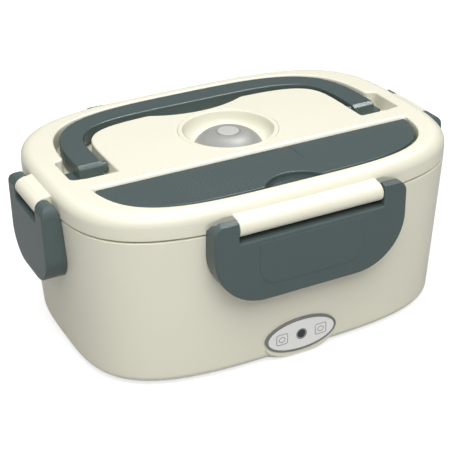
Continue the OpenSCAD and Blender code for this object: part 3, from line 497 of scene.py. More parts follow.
# %% [markdown]
# ## From outlines to solids
# `skin` stretches a mesh over a stack of rings. `press` makes the rings of one outline at several
# heights, each a little larger or smaller, which is how rounded edges come about. A bevel modifier
# could round them too, but it fails where an outline turns sharply. `hoops` does the same with
# squared ovals, and `lathe` turns a profile round an axis. All of them work in millimetres, as the
# parts are drawn, and the mesh is scaled to metres at the end.


# %% Skin
def skin(name, rings, closed=False):
    """Mesh over rings of points in millimetres; closed joins the last ring to the first."""
    n, count = len(rings[0]), len(rings)
    points = np.vstack(rings) * MM
    faces = []
    for k in range(count if closed else count - 1):
        a, b = k * n, (k + 1) % count * n
        faces += [(a + i, a + (i + 1) % n, b + (i + 1) % n, b + i) for i in range(n)]
    if not closed:
        faces += [tuple(range(n - 1, -1, -1)), tuple(range((count - 1) * n, count * n))]
    mesh = bpy.data.meshes.new(name)
    mesh.from_pydata(points.tolist(), [], faces)
    work = bmesh.new()
    work.from_mesh(mesh)
    bmesh.ops.recalc_face_normals(work, faces=work.faces)
    work.to_mesh(mesh)
    work.free()
    piece = bpy.data.objects.new(name, mesh)
    bpy.context.scene.collection.objects.link(piece)
    return piece


def lay(points, height, plane):
    """Points of an outline in space: top is seen from above, front from -Y, side from +X."""
    h = np.broadcast_to(height, len(points))
    u, v = points.T
    columns = {"top": (u, v, h), "front": (u, -h, v), "side": (h, u, v)}[plane]
    return np.stack(columns, axis=1)


print("skins are drawn in millimetres, of", MM, "m each")


# %% Press, hoops and lathe
def outward(points):
    """Direction out of a closed outline at each of its points."""
    along = np.roll(points, -1, axis=0) - np.roll(points, 1, axis=0)
    along /= np.maximum(np.hypot(*along.T), 1e-9)[:, None]
    area = np.sum(points[:, 0] * np.roll(points[:, 1], -1) - points[:, 1] * np.roll(points[:, 0], -1))
    return np.c_[along[:, 1], -along[:, 0]] * np.sign(area)


def press(name, outline, levels, plane="top", closed=False):
    """Solid whose rings are the outline at each level, a (height, growth) pair."""
    out = outward(outline)
    rings = [lay(outline + out * np.reshape(grow, (-1, 1)), h, plane) for h, grow in levels]
    return skin(name, rings, closed)


def hoops(name, a, b, square, profile, closed=False):
    """Solid of squared ovals; the profile is a list of (inset, height) pairs."""
    rings = [lay(oval(a - inset, b - inset, square), h, "top") for inset, h in profile]
    return skin(name, rings, closed)


def lathe(name, profile, centre, plane="top", segments=128):
    """Solid turned round an axis; the profile is a list of (radius, height) pairs."""
    t = np.linspace(0, 2 * np.pi, segments, endpoint=False)
    circle = np.c_[np.cos(t), np.sin(t)]
    rings = [lay(circle * max(r, 1e-3) + np.array(centre), h, plane) for r, h in profile]
    return skin(name, rings, closed=profile[0][0] > 0)


print("outlines can be pressed, and profiles hooped or turned")

# %% [markdown]
# ## Rounded edges
# Three curves come back again and again: the levels of a piece with rounded edges, those of a
# cutter that leaves a rounded rim round its pocket, and the round corner where a wall meets a
# floor.


# %% Rounded edges
def pillow(low, high, r_low, r_high, steps=5):
    """Levels of a piece from low to high with both its edges rounded."""
    t = np.radians(np.linspace(0, 90, steps + 1))
    lower = [(low + r_low * (1 - np.sin(a)), -r_low * (1 - np.cos(a))) for a in t[::-1]]
    upper = [(high - r_high * (1 - np.sin(a)), -r_high * (1 - np.cos(a))) for a in t]
    return lower + upper


def sinker(floor, top, rim, floor_round=1.0, steps=7, last=72, past=0.3):
    """Levels of a cutter for a pocket with a rounded floor and a rounded rim."""
    t = np.radians(np.linspace(90, 0, 5))
    lower = [(floor + floor_round * (1 - np.sin(a)), -floor_round * (1 - np.cos(a))) for a in t]
    t = np.radians(np.linspace(0, last, steps + 1))
    upper = [(top - rim * (1 - np.sin(a)), rim * (1 - np.cos(a))) for a in t]
    height, grow = upper[-1]
    climb = top + past - height
    return lower + upper + [(top + past, grow + climb * np.tan(t[-1]))]


def foot_curve(wall, floor, radius, start, end, steps):
    """Corner between a floor and a wall, as (inset, height) pairs; 90 degrees is at the wall."""
    t = np.radians(np.linspace(start, end, steps + 1))
    return [(wall + radius * (1 - np.sin(a)), floor + radius * (1 - np.cos(a))) for a in t]


print("a piece with rounded edges has", len(pillow(0, 8, 1, 1)), "levels")

# %% [markdown]
# ## Carving and fitting
# Pockets are cut with Boolean modifiers, which are then baked into the mesh; to weave the pockets
# into the mesh by hand would take many more steps. `fit` gives a piece its finish, smooth shading
# with crisp edges and the body that it rides on, and hides the imported part that it stands for.


# %% Carve and fit
def bake(piece):
    """Put what the modifiers make into the mesh itself."""
    graph = bpy.context.evaluated_depsgraph_get()
    mesh = bpy.data.meshes.new_from_object(piece.evaluated_get(graph))
    plain, piece.data = piece.data, mesh
    piece.modifiers.clear()
    bpy.data.meshes.remove(plain)


def carve(piece, *tools):
    """Cut the tools out of the piece and remove them."""
    for tool in tools:
        cut = piece.modifiers.new("carve", "BOOLEAN")
        cut.operation, cut.solver, cut.object = "DIFFERENCE", "EXACT", tool
    bake(piece)
    for tool in tools:
        bpy.data.objects.remove(tool, do_unlink=True)
    return piece


def turned(piece, degrees):
    """The piece turned round the upright axis: 180 puts a front piece on the back."""
    piece.data.transform(Matrix.Rotation(np.radians(degrees), 4, "Z"))
    return piece


def fit(piece, body, slot, stands_for=(), crease=32, finish=None):
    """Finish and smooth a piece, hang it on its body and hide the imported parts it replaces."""
    piece.data.materials.clear()
    piece.data.materials.append(finish or BY_SLOT[slot])
    piece.data.polygons.foreach_set("use_smooth", [True] * len(piece.data.polygons))
    piece.data.set_sharp_from_angle(angle=np.radians(crease))
    weigh = piece.modifiers.new("weigh", "WEIGHTED_NORMAL")
    weigh.keep_sharp, weigh.weight = True, 60
    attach(piece, body)
    if stands_for:
        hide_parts(*stands_for)
    size = [round(v / MM, 1) for v in piece.dimensions]
    print(f"{piece.name}: {size} mm, {len(piece.data.polygons)} faces")
    return piece


# %% [markdown]
# ## The casing
# The outer casing is one moulded shell: a rounded bottom edge, walls 2.2 mm thick that lean out by
# 4.5 mm up to the rim, and a ledge inside that carries the tub. Its corners are a little squarer
# than the lid's, so a crescent of its rim shows under the lid. A solid could be hollowed by a
# Boolean, but the shell is one closed profile led round the oval, so hoops make it in one go.

# %% Casing
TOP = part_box("lid_shell")[1].z / MM
RIM_A, RIM_B, RIM_Z, FOOT_Z = 108.5, 75.7, TOP - 13.95, 1.3
TAPER, BASE_ROUND, WALL = 4.5, 5.0, 2.2
LEDGE_Z, LEDGE_T, LEDGE_INSET = 82.4, 3.0, 5.5
INNER_FLOOR, COVER_SEAT, SEAT_WIDTH = 5.7, 3.5, 4.0
COVER_INSET = TAPER + BASE_ROUND + 4


def drawn_in(z):
    """How far the casing's wall stands in from the rim at height z."""
    return TAPER * (RIM_Z - z) / (RIM_Z - FOOT_Z)


def wall_points(margin, floor, radius):
    """The wall's foot up to the height where it is straight, that far inside the outer face."""
    return [(drawn_in(z) + inset, z) for inset, z in foot_curve(margin, floor, radius, 0, 90, 12)]


def casing_profile():
    rim = [(0.0, RIM_Z - 0.5), (0.15, RIM_Z - 0.15), (0.5, RIM_Z)]
    rim += [(WALL - 0.4, RIM_Z), (WALL, RIM_Z - 0.4)]
    under_ledge = LEDGE_Z - LEDGE_T
    ledge = [(WALL, LEDGE_Z), (LEDGE_INSET, LEDGE_Z)]
    ledge += [(LEDGE_INSET, under_ledge), (WALL + 0.3, under_ledge)]
    inside = wall_points(WALL, INNER_FLOOR, BASE_ROUND - WALL)[::-1]
    seat = COVER_INSET + SEAT_WIDTH
    opening = [(seat, INNER_FLOOR), (seat, COVER_SEAT), (COVER_INSET, COVER_SEAT)]
    opening += [(COVER_INSET, FOOT_Z + 0.3), (COVER_INSET - 0.3, FOOT_Z)]
    return wall_points(0, FOOT_Z, BASE_ROUND) + rim + ledge + inside + opening


casing = hoops("casing", RIM_A, RIM_B, BODY_SQUARE, casing_profile(), closed=True)
print("the casing's profile has", len(casing_profile()), "points")

# %% [markdown]
# ## Socket panel and badge pad
# The casing's back has two holes for the power sockets, in a low flat panel, and its front has an
# oval pad for the badge, which flares into the wall. Both are moulded in one with the casing. They
# are pressed as pieces of their own that sink into the wall, which leaves the casing's skin clean.

# %% Socket panel and badge pad
SOCKET_X, SOCKET_Z, SOCKET_FACE = 16.0, 12.0, 72.8
SOCKET_W, SOCKET_H = 22.1, 12.1
SOCKET_PANEL_W, SOCKET_PANEL_H = 72, 17
BADGE_A, BADGE_B, BADGE_Z = 21.0, 9.8, 13.4
PAD_FACE = 72.8
THROUGH_THE_WALL = [(55, 0), (80, 0)]


def socket_holes():
    holes = []
    for x in (-SOCKET_X, SOCKET_X):
        outline = rounded_box(SOCKET_W, SOCKET_H, (x, SOCKET_Z), 0.6, 64)
        holes.append(turned(press("hole", outline, THROUGH_THE_WALL, "front"), 180))
    return holes


carve(casing, *socket_holes())
fit(casing, "base", "cream_plastic", ["outer_shell"])

panel_outline = rounded_box(SOCKET_PANEL_W, SOCKET_PANEL_H, (0, SOCKET_Z), 3)
panel = press("socket_panel", panel_outline, pillow(66, SOCKET_FACE, 0.2, 0.7), "front")
carve(turned(panel, 180), *socket_holes())
fit(panel, "base", "cream_plastic")

flare = [(60, 8), (66, 4.5), (69.5, 2.2), (71.6, 0.8), (72.5, 0.15), (PAD_FACE, -0.5)]
pad = press("badge_pad", ellipse(BADGE_A - 0.6, BADGE_B - 0.2, BADGE_Z - 3.2), flare, "front")
below_casing = press("below_casing", oval(200, 200, 2, 32), [(-20, 0), (FOOT_Z, 0)])
fit(carve(pad, below_casing), "base", "cream_plastic")

# %% [markdown]
# ## Ribs
# Four short ribs stand on the casing, and each latch snaps its lower lip under one. They could be
# drawn where they stand, each in its own view, but it is easier to draw every rib at the front and
# turn it to its side.

# %% Ribs
RIB_LOW, RIB_HIGH, RIB_DEPTH = 51.3, 53.3, 4
RIB_HALF_WIDE, RIB_HALF_NARROW = 18, 10
RIB_REACH_WIDE, RIB_REACH_NARROW = 76.1, 108.9


def rib(name, half, reach, turn):
    middle = (RIB_LOW + RIB_HIGH) / 2
    outline = rounded_box(RIB_HIGH - RIB_LOW, 2 * half, (middle, 0), 0.6)[:, ::-1]
    piece = press(name, outline, pillow(reach - RIB_DEPTH, reach, 0.1, 0.5), "front")
    return fit(turned(piece, turn), "base", "cream_plastic")


for name, turn in (("front_rib", 0), ("back_rib", 180)):
    rib(name, RIB_HALF_WIDE, RIB_REACH_WIDE, turn)
for name, turn in (("left_rib", -90), ("right_rib", 90)):
    rib(name, RIB_HALF_NARROW, RIB_REACH_NARROW, turn)

# %% [markdown]
# Two small ears at the back hold the pin of the socket cover. Each is a post that ends in a disc
# about the pin, drawn as seen from the side and pressed to its thickness. Their places follow from
# the cover's half width and the gap that lets it turn.

# %% Ears of the socket cover
FLAP_Y, FLAP_Z, FLAP_R = 74.9, 22.6, 1.8
FLAP_HALF, FLAP_GAP, FLAP_EAR_T = 28, 0.3, 3


def flap_ear(y, z):
    post = box_edge(y, z, (66, FLAP_Z - FLAP_R), (FLAP_Y, FLAP_Z + FLAP_R))
    return either(post, disc_edge(y, z, (FLAP_Y, FLAP_Z), FLAP_R), 0.1)


ear_outline = trace(flap_ear, (65, 18), (79, 27), 72, step=0.2)
ear_start = FLAP_HALF + FLAP_GAP
for side, low in (("left", -ear_start - FLAP_EAR_T), ("right", ear_start)):
    ear = press(f"{side}_flap_ear", ear_outline, pillow(low, low + FLAP_EAR_T, 0.4, 0.4), "side")
    fit(ear, "base", "cream_plastic")

# %% [markdown]
# ## The lid
# The lid is a thick plate with a wide rounding along its top edge. The handle lies in a channel
# that runs round the middle panel, and the cutlery pocket lies in front of it. The rims could be
# rounded with a bevel after the cutting, but the cutters carry those roundings themselves, so the
# carved rims come out smooth, and each pocket can have its own.

# %% Lid plate
LID_A, LID_B, LID_Z, LID_ROUND = RIM_A + 0.5, RIM_B + 0.5, TOP - 12.85, 6.5
LID_WALL = 2.25
INNER_TOP = TOP - 11.6


def lid_profile():
    under = [(LID_WALL, INNER_TOP), (LID_WALL, LID_Z + 0.3), (LID_WALL - 0.3, LID_Z)]
    edge = [(0.5, LID_Z), (0.15, LID_Z + 0.15), (0, LID_Z + 0.5)]
    t = np.radians(np.linspace(0, 90, 15))
    shoulder = [(LID_ROUND * (1 - np.cos(a)), TOP - LID_ROUND * (1 - np.sin(a))) for a in t]
    return under + edge + shoulder


lid = hoops("lid", LID_A, LID_B, LID_SQUARE, lid_profile())
print("the lid's profile has", len(lid_profile()), "points")

# %% [markdown]
# The channel's plan is the handle's own oval with a little room, two pockets for the pivots of its
# arms, a raised panel left standing in the middle, and a shallow scallop for the fingers behind.

# %% Channel of the handle
CHANNEL_FLOOR = TOP - 10
CHANNEL_A, CHANNEL_B, CHANNEL_SQUARE = 91.5, 66.0, 3.5
PANEL_A, PANEL_B, PANEL_SQUARE = 72.0, 43.5, 4.8
ARM_POCKET = ((60.0, -13.0), (97.0, 12.0))
SCALLOP_CENTRE, SCALLOP_R, SCALLOP_FRONT = (-1.5, 93.9), 57.9, 60


def channel(x, y):
    bow = both(oval_edge(x, y, CHANNEL_A, CHANNEL_B, CHANNEL_SQUARE), ARM_POCKET[0][1] - y, 3)
    area = either(bow, box_edge(np.abs(x), y, *ARM_POCKET, radius=3), 3)
    area = without(area, oval_edge(x, y, PANEL_A, PANEL_B, PANEL_SQUARE), 1.2)
    scallop = both(disc_edge(x, y, SCALLOP_CENTRE, SCALLOP_R), y - SCALLOP_FRONT, 0.1)
    return either(area, scallop, 1.0)


channel_outline = trace(channel, (-104, -18), (104, 70), 900)
channel_cutter = press("channel_cutter", channel_outline, sinker(CHANNEL_FLOOR, TOP, 1.1))
print("channel:", np.ptp(channel_outline, axis=0).round(1), "mm")

# %% [markdown]
# The pocket's rim is rounded most along its back edge, where the photograph shows a soft roll. So
# the rim's radius grows towards the back: it is a list with one radius for each point.

# %% Cutlery pocket
POCKET_A, POCKET_FRONT, POCKET_BACK, CUTLERY_SQUARE = 92.5, 67.2, -26.3, 3.9
RIM_PLAIN, RIM_ROLL, ROLL_WIDTH = 0.9, 1.4, 3


def pocket(x, y):
    return both(oval_edge(x, y, POCKET_A, POCKET_FRONT, CUTLERY_SQUARE), y - POCKET_BACK, 2.0)


pocket_outline = trace(pocket, (-96, -70), (96, -22), 560)
back_share = np.clip((pocket_outline[:, 1] - (POCKET_BACK - ROLL_WIDTH)) / ROLL_WIDTH, 0, 1)
pocket_rim = RIM_PLAIN + RIM_ROLL * back_share**2
pocket_cutter = press("pocket_cutter", pocket_outline, sinker(CHANNEL_FLOOR, TOP, pocket_rim))
print("pocket:", np.ptp(pocket_outline, axis=0).round(1), "mm")

# %% [markdown]
# The steam vent's bowl drops into a stepped hole in the middle panel, with a shallow seat for its
# flange. A hole and a seat could be two cylinders, but they share one axis, so one profile on the
# lathe makes the cutter.

# %% Vent hole
VENT = (0.0, 6.1)
VENT_HOLE_R, VENT_FLANGE_R, FLANGE_SEAT = 25.7, 27.2, TOP - 0.95
seat_r = VENT_FLANGE_R + 0.12
vent_hole = [(0, INNER_TOP - 2), (VENT_HOLE_R, INNER_TOP - 2), (VENT_HOLE_R, FLANGE_SEAT)]
vent_seat = [(seat_r, FLANGE_SEAT), (seat_r, TOP - 0.3), (VENT_FLANGE_R + 0.5, TOP + 0.2), (0, TOP + 0.2)]
vent_cutter = lathe("vent_cutter", vent_hole + vent_seat, VENT)
print("vent hole radius:", VENT_HOLE_R, "mm")

# %% [markdown]
# The hinge pins lie close to the lid, and the long latches have tall ears that dip into its front
# and back when they open. Shallow flats make room for them there; they are hidden behind the ears
# while the latches are shut. With those cutters made, the lid is carved once.

# %% Room for the ears, and the carved lid
HINGE_Z, BAR_R = TOP - 10.2, 4.5
HINGE_WIDE, HINGE_NARROW = LID_B + 3.3, LID_A + 4.4
EAR_ENDS = (40.3, 54.2)


def ear_reliefs():
    """Shallow flats in the lid's front and back, where the ears of the long latches turn."""
    flat = [(-5.25, -4), (-5.25, 0.6), (-4.25, 4.7), (2, 4.7), (2, -4)]
    outline = np.array([(-HINGE_WIDE - inward, HINGE_Z + up) for inward, up in flat])
    inner, outer = EAR_ENDS
    reliefs = []
    for turn in (0, 180):
        for low, high in ((-outer, -inner), (inner, outer)):
            reliefs.append(turned(press("relief", outline, [(low, 0), (high, 0)], "side"), turn))
    return reliefs


carve(lid, channel_cutter, pocket_cutter, vent_cutter, *ear_reliefs())
fit(lid, "lid", "cream_plastic", ["lid_shell"])

# %% [markdown]
# ## Hinge bars
# A round bar stands out of the lid on each side, joined to it by a web, and carries a latch's pin.
# A cylinder and a block would meet in a hard line, where the moulding has a soft fillet. So the
# bar's section is drawn as seen from the side, with that fillet, and pressed out along its length.

# %% Hinge bars
BAR_HALF_WIDE, BAR_HALF_NARROW = 40.2, 14.3
WEB_SLOPE = 0.22


def hinge_bar(name, half, out, lid_side, turn):
    """Bar of that half length, with its axis that far out from the middle of the box."""

    def section(y, z):
        top_slope = z - (HINGE_Z + BAR_R) - WEB_SLOPE * (y + out)
        web = np.maximum(box_edge(y, z, (-out, LID_Z), (-lid_side + 4, TOP)), top_slope)
        return either(web, disc_edge(y, z, (-out, HINGE_Z), BAR_R), 1.2)

    outline = trace(section, (-out - 6, LID_Z - 4), (-lid_side + 6, TOP + 2), 140, step=0.2)
    piece = press(name, outline, pillow(-half, half, 0.5, 0.5), "side")
    return fit(turned(piece, turn), "lid", "cream_plastic")


for name, turn in (("front_hinge_bar", 0), ("back_hinge_bar", 180)):
    hinge_bar(name, BAR_HALF_WIDE, HINGE_WIDE, LID_B, turn)
for name, turn in (("left_hinge_bar", -90), ("right_hinge_bar", 90)):
    hinge_bar(name, BAR_HALF_NARROW, HINGE_NARROW, LID_A, turn)

# %% [markdown]
# ## The handle
# The handle is a flat bow of slate plastic, 8 mm thick, with softened edges. It could be a section
# led along a curve, but its bar is wider than its arms. So its plan is one oval without a smaller,
# squarer one, cut off in front. Two shaped cutters then slope the upper edge of the arms' ends and
# round the lower one.

# %% Handle
HANDLE_T, ARM_FRONT = 8.0, -1.8
HANDLE_LOW = TOP - HANDLE_T
BOW_OUTSIDE, BOW_INSIDE = (88.5, 65, 3.5), (75.3, 50, 4.5)


def handle_plan(x, y):
    bow = without(oval_edge(x, y, *BOW_OUTSIDE), oval_edge(x, y, *BOW_INSIDE), 1)
    return both(bow, ARM_FRONT - y, 1.0)


def end_cutters():
    """What lies outside the sloped upper edge and the rounded lower edge of the arms' ends."""
    y, low = ARM_FRONT, HANDLE_LOW
    slope = [(y, TOP - 2.2), (y + 0.12, TOP - 1.75), (y + 0.45, TOP - 1.3), (y + 2.7, TOP - 0.12)]
    upper = slope + [(y + 3.3, TOP), (y + 3.3, TOP + 1), (y - 2, TOP + 1), (y - 2, TOP - 2.2)]
    lower = arc((y + 1, low + 1), 1, 270, 180, 6)
    lower += [(y - 2, low + 1), (y - 2, low - 1), (y + 1, low - 1)]
    across = [(-99, 0), (99, 0)]
    return [press("end_cutter", np.array(shape), across, "side") for shape in (upper, lower)]


handle_outline = trace(handle_plan, (-92, -6), (92, 69), 760)
handle = press("handle_bow", handle_outline, pillow(HANDLE_LOW, TOP, 0.6, 0.9))
# The handle's darker slate is painted shade.
fit(carve(handle, *end_cutters()), "carry_handle", "slate_plastic", ["handle"], finish=shaded_slate_satin)

# %% [markdown]
# Under each arm the photograph shows a low heel with a flange that reaches out beside the pivot.
# A round boss stands at the pivot on the arm's inner face. To join them to the bow would break up
# its long smooth skin, so they are separate pieces that sink into it.

# %% Heels and bosses of the handle
PIVOT = (2.7, TOP - 4.5)
BOSS_R, BOSS_START, BOSS_LENGTH = 3.2, 72.3, 4
HEEL_LENGTH, HEEL_DROP = 36, 1.5
HEEL_FLANGE = ((84, -4), (94.5, 9))


def heel_plan(x, y):
    under_arm = both(handle_plan(x, y), y - HEEL_LENGTH, 4)
    flange = box_edge(x, y, *HEEL_FLANGE, 1.5)
    return both(either(under_arm, flange, 0.5), 0.3 - y, 1.0)


heel_outline = trace(heel_plan, (66, -4), (97, 40), 240, 0.25)
for side, mirror in (("left", -1), ("right", 1)):
    levels = pillow(HANDLE_LOW - HEEL_DROP, HANDLE_LOW + HEEL_DROP, 0.9, 0.5)
    heel = press(f"{side}_handle_heel", heel_outline * (mirror, 1), levels)
    fit(heel, "carry_handle", "slate_plastic", finish=shaded_slate_satin)
for side, low in (("left", -BOSS_START - BOSS_LENGTH), ("right", BOSS_START)):
    high = low + BOSS_LENGTH
    boss_profile = [(0, low), (BOSS_R - 0.2, low), (BOSS_R, low + 0.2)]
    boss_profile += [(BOSS_R, high - 0.2), (BOSS_R - 0.2, high), (0, high)]
    boss = lathe(f"{side}_handle_boss", boss_profile, PIVOT, "side", 48)
    fit(boss, "carry_handle", "slate_plastic", finish=shaded_slate_satin)

# %% [markdown]
# ## The cutlery cover
# The cover is a thin slate plate that follows the lid's front. A round notch in its front edge
# lets a finger in, and a faint rectangle is pressed into its top near the hinge. That rectangle
# could be a colour only, but it catches the light on its rim, so it is cut a quarter of a
# millimetre deep.

# %% Cutlery cover
COVER_TOP, COVER_T = TOP - 1.1, 2.0
COVER_A, COVER_FRONT, COVER_BACK = 91.9, 64.2, -26.9
NOTCH_CENTRE, NOTCH_R = (0.0, -73.7), 18.7
MARK_W, MARK_H, MARK_Y, MARK_DEPTH = 36, 17.6, -37, 0.25


def cover_plan(x, y):
    plate = both(oval_edge(x, y, COVER_A, COVER_FRONT, CUTLERY_SQUARE), y - COVER_BACK, 1.8)
    return without(plate, disc_edge(x, y, NOTCH_CENTRE, NOTCH_R), 0.4)


cover_outline = trace(cover_plan, (-95, -69), (95, -22), 620)
cover = press("cutlery_lid", cover_outline, pillow(COVER_TOP - COVER_T, COVER_TOP, 0.45, 0.6))
mark_levels = sinker(COVER_TOP - MARK_DEPTH, COVER_TOP, 0.12, floor_round=0.05, past=0.1)
carve(cover, press("cover_mark", rounded_box(MARK_W, MARK_H, (0, MARK_Y), 0.8), mark_levels))
# The cover's darker slate is painted shade.
fit(cover, "pocket_cover", "slate_plastic", ["cutlery_cover"], finish=shaded_slate_matt)

# %% [markdown]
# Through the notch the photograph shows an even dark grey, and neither the spoon nor the pocket's
# floor. A darker shade on the floor would stay there when the cover opens, so a thin scoop is
# fixed under the notch instead. It is hollowed by a turned shape of the notch's own radius.

# %% Finger scoop
SCOOP_LOW, SCOOP_FLOOR = 92.8, 93.6


def scoop_plan(x, y):
    inside = oval_edge(x, y, COVER_A - 0.8, COVER_FRONT - 0.8, CUTLERY_SQUARE)
    return both(inside, disc_edge(x, y, NOTCH_CENTRE, NOTCH_R + 1.0), 0.5)


scoop_outline = trace(scoop_plan, (-20, -68), (20, -50), 220, 0.3)
scoop = press("finger_scoop", scoop_outline, pillow(SCOOP_LOW, COVER_TOP - COVER_T + 0.2, 0.4, 0.05))
finger = [(0, SCOOP_FLOOR), (NOTCH_R - 2, SCOOP_FLOOR), (NOTCH_R - 0.6, SCOOP_FLOOR + 0.5)]
finger += [(NOTCH_R, SCOOP_FLOOR + 1.8), (NOTCH_R, TOP), (0, TOP)]
carve(scoop, lathe("finger", finger, NOTCH_CENTRE))
fit(scoop, "pocket_cover", "slate_plastic", finish=shaded_slate_matt)

# %% [markdown]
# ## The latches
# A latch is a hollow slate plate with two ears that hold its hinge pin. Its face is flat with
# deeply rounded lower corners, and its walls reach back to the casing. It could be bent from a
# sheet, but it is a moulding: it is pressed from its face's outline towards the box, hollowed, and
# cut clear of the box with the box's own form grown by a third of a millimetre.

# %% Shapes of a latch
EAR_TOP, LATCH_LOW = HINGE_Z + 5.1, HINGE_Z - 41.2
LATCH_FACE, LATCH_WALL, CLEAR = 4.6, 2.0, 0.35
LONG_EAR_R, SHORT_EAR_R = 3.6, 4.3
NOTCH_Z = HINGE_Z - 7.0
FAR = 60


def latch_front(x, z, half, corner, inset=0.0):
    """Outline from in front: large round corners below and smaller ones above."""
    lower = box_edge(x, z, (-half, LATCH_LOW), (half, TOP + FAR), corner)
    upper = box_edge(x, z, (-half, LATCH_LOW - FAR), (half, EAR_TOP), 6.5)
    return np.maximum(lower, upper) + inset


def room():
    """The space that the lid and the casing need, as a solid."""
    beside_lid = -0.5 - CLEAR
    profile = [(drawn_in(z) - CLEAR, z) for z in np.linspace(30, LID_Z - 0.3, 8)]
    profile += [(beside_lid, LID_Z - 0.2), (beside_lid, TOP + 5)]
    return hoops("room", RIM_A, RIM_B, LID_SQUARE, profile)


print("a latch is", round(EAR_TOP - LATCH_LOW, 1), "mm high")

# %% [markdown]
# Seen from the side, the ears must turn about the pin without touching the lid. The short latches'
# ears are simply round about it. The long ones stand higher and slope down to the front, as the
# photograph shows, and the flats in the lid make room for them.


# %% Ears
def ear_cutter(half, out, long):
    """What lies above and behind the ears; out is how far the pin is from the box's middle."""
    face = out + LATCH_FACE
    back = [(-out + 20, HINGE_Z), (-out + 20, TOP + 4), (-face - 1, TOP + 4)]
    if long:
        slope = [(-face - 1, HINGE_Z + 4.0), (-out - 0.6, EAR_TOP - 0.1), (-out, EAR_TOP - 0.4)]
        ear = slope + arc((-out, HINGE_Z), LONG_EAR_R, 90, 0)
    else:
        ear = [(-face - 1, HINGE_Z)] + arc((-out, HINGE_Z), SHORT_EAR_R, 180, 0, 20)
    return press("ears", np.array(ear + back), [(-half - 1, 0), (half + 1, 0)], "side")


print("ear radii:", LONG_EAR_R, "and", SHORT_EAR_R, "mm")

# %% [markdown]
# The long latches also have a slightly raised panel in the middle of their face, 0.22 mm high. It
# is one thin pressed piece, so that its edge stays crisp on the flat face.


# %% Make the latches
RAISED_HALF, RAISED_LOW, RAISED_HIGH, RAISED_BY = 30, HINGE_Z - 33.1, HINGE_Z - 9.1, 0.22


def raised_panel(name, face):
    def outline(x, z):
        upper = box_edge(x, z, (-RAISED_HALF, 0), (RAISED_HALF, RAISED_HIGH), 1.8)
        lower = box_edge(x, z, (-RAISED_HALF, RAISED_LOW), (RAISED_HALF, TOP + FAR), 10)
        return np.maximum(upper, lower)

    window = ((-RAISED_HALF - 3, LATCH_LOW + 2), (RAISED_HALF + 3, NOTCH_Z))
    levels = pillow(face - 0.4, face + RAISED_BY, 0.05, RAISED_BY)
    return press(name, trace(outline, *window, 200, 0.4), levels, "front")


def latch(name, half, ear_width, corner, out, turn, body, node, long=False):
    face = out + LATCH_FACE

    def notched(x, z):
        notch = box_edge(x, z, (ear_width - half, NOTCH_Z), (half - ear_width, TOP + 20), 1.0)
        return without(latch_front(x, z, half, corner), notch, 1.0)

    def inner(x, z):
        below_notch = z - (NOTCH_Z - LATCH_WALL)
        return both(latch_front(x, z, half, corner, LATCH_WALL), below_notch, 0.6)

    window = ((-half - 2, LATCH_LOW - 2), (half + 2, EAR_TOP + 2))
    plate_levels = pillow(face - 14, face, 0.1, 0.8)
    plate = press(name, trace(notched, *window, 420, 0.4), plate_levels, "front")
    hollow_levels = pillow(face - 20, face - LATCH_WALL, 0.1, 0.6)
    hollow = press("hollow", trace(inner, *window, 240, 0.4), hollow_levels, "front")
    carve(plate, hollow, ear_cutter(half, out, long))
    carve(turned(plate, turn), room())
    if long:
        fit(turned(raised_panel(f"{name}_panel", face), turn), body, "slate_plastic")
    return fit(plate, body, "slate_plastic", [node])


LONG_LATCH = {"half": 53.8, "ear_width": 13.1, "corner": 28, "out": HINGE_WIDE, "long": True}
SHORT_LATCH = {"half": 25.5, "ear_width": 10.7, "corner": 17, "out": HINGE_NARROW}
for side, turn, kind in (("front", 0, LONG_LATCH), ("back", 180, LONG_LATCH),
                         ("left", -90, SHORT_LATCH), ("right", 90, SHORT_LATCH)):
    latch(f"{side}_snap", turn=turn, body=f"latch_{side}", node=f"{side}_latch", **kind)

# %% [markdown]
# ## The steam vent
# The vent is a separate cream bowl with a flat rim, in which the soft valve sits. A half sphere
# could be scaled into a bowl, but the real one has a flat floor, a curved wall and a thin rim that
# rolls over. As it is round, one profile on the lathe gives all three.

# %% Vent bowl
BOWL_FLOOR, BOWL_R, BOWL_CURVE = TOP - 9, 24.6, 7.0
floor_edge = BOWL_R - 7.4
bowl_inside = [(4, INNER_TOP), (4, BOWL_FLOOR), (floor_edge, BOWL_FLOOR)]
bowl_inside += arc((floor_edge, BOWL_FLOOR + BOWL_CURVE), BOWL_CURVE, 274, 352, 14)
bowl_rim = arc((BOWL_R + 0.55, TOP - 0.55), 0.55, 180, 90, 6) + [(26.6, TOP)]
bowl_rim += arc((26.8, TOP - 0.3), 0.3, 90, 0, 4)
under_rim = [(27.1, TOP - 0.9), (25.6, TOP - 0.9), (25.6, BOWL_FLOOR - 1.2)]
under_rim += [(5.2, BOWL_FLOOR - 1.2), (5.2, INNER_TOP)]
bowl = lathe("vent_dish", bowl_inside + bowl_rim + under_rim, VENT, segments=192)
fit(bowl, "lid", "cream_plastic", ["vent_bowl"])

# %% [markdown]
# The valve is a soft bell with a button on top, which a shallow groove sets off. The button is
# painted paler, as painted light on its flat top, and the bell darker, as painted shade on its
# slope. The bell's shoulder is steeper at the foot than a plain dome of its height would be, so it
# is part of a circle that is stretched to fit. The plug under the bell goes down through the lid.

# %% Steam valve
BELL_R, BELL_TOP, BELL_FOOT = 18.5, TOP - 1.1, BOWL_FLOOR + 0.15
BUTTON_R, BELL_BEND = 6.0, np.radians(62)


def bell_shoulder():
    """From the foot up to the button's groove, part of a circle stretched to fit."""
    first, high = BUTTON_R + 0.9, BELL_TOP - 0.5
    drop = high - BELL_FOOT - 0.3
    points = []
    for t in np.linspace(BELL_BEND, 0, 24):
        across = np.sin(t) / np.sin(BELL_BEND)
        down = (1 - np.cos(t)) / (1 - np.cos(BELL_BEND))
        points.append((first + (BELL_R - first) * across, high - drop * down))
    return points


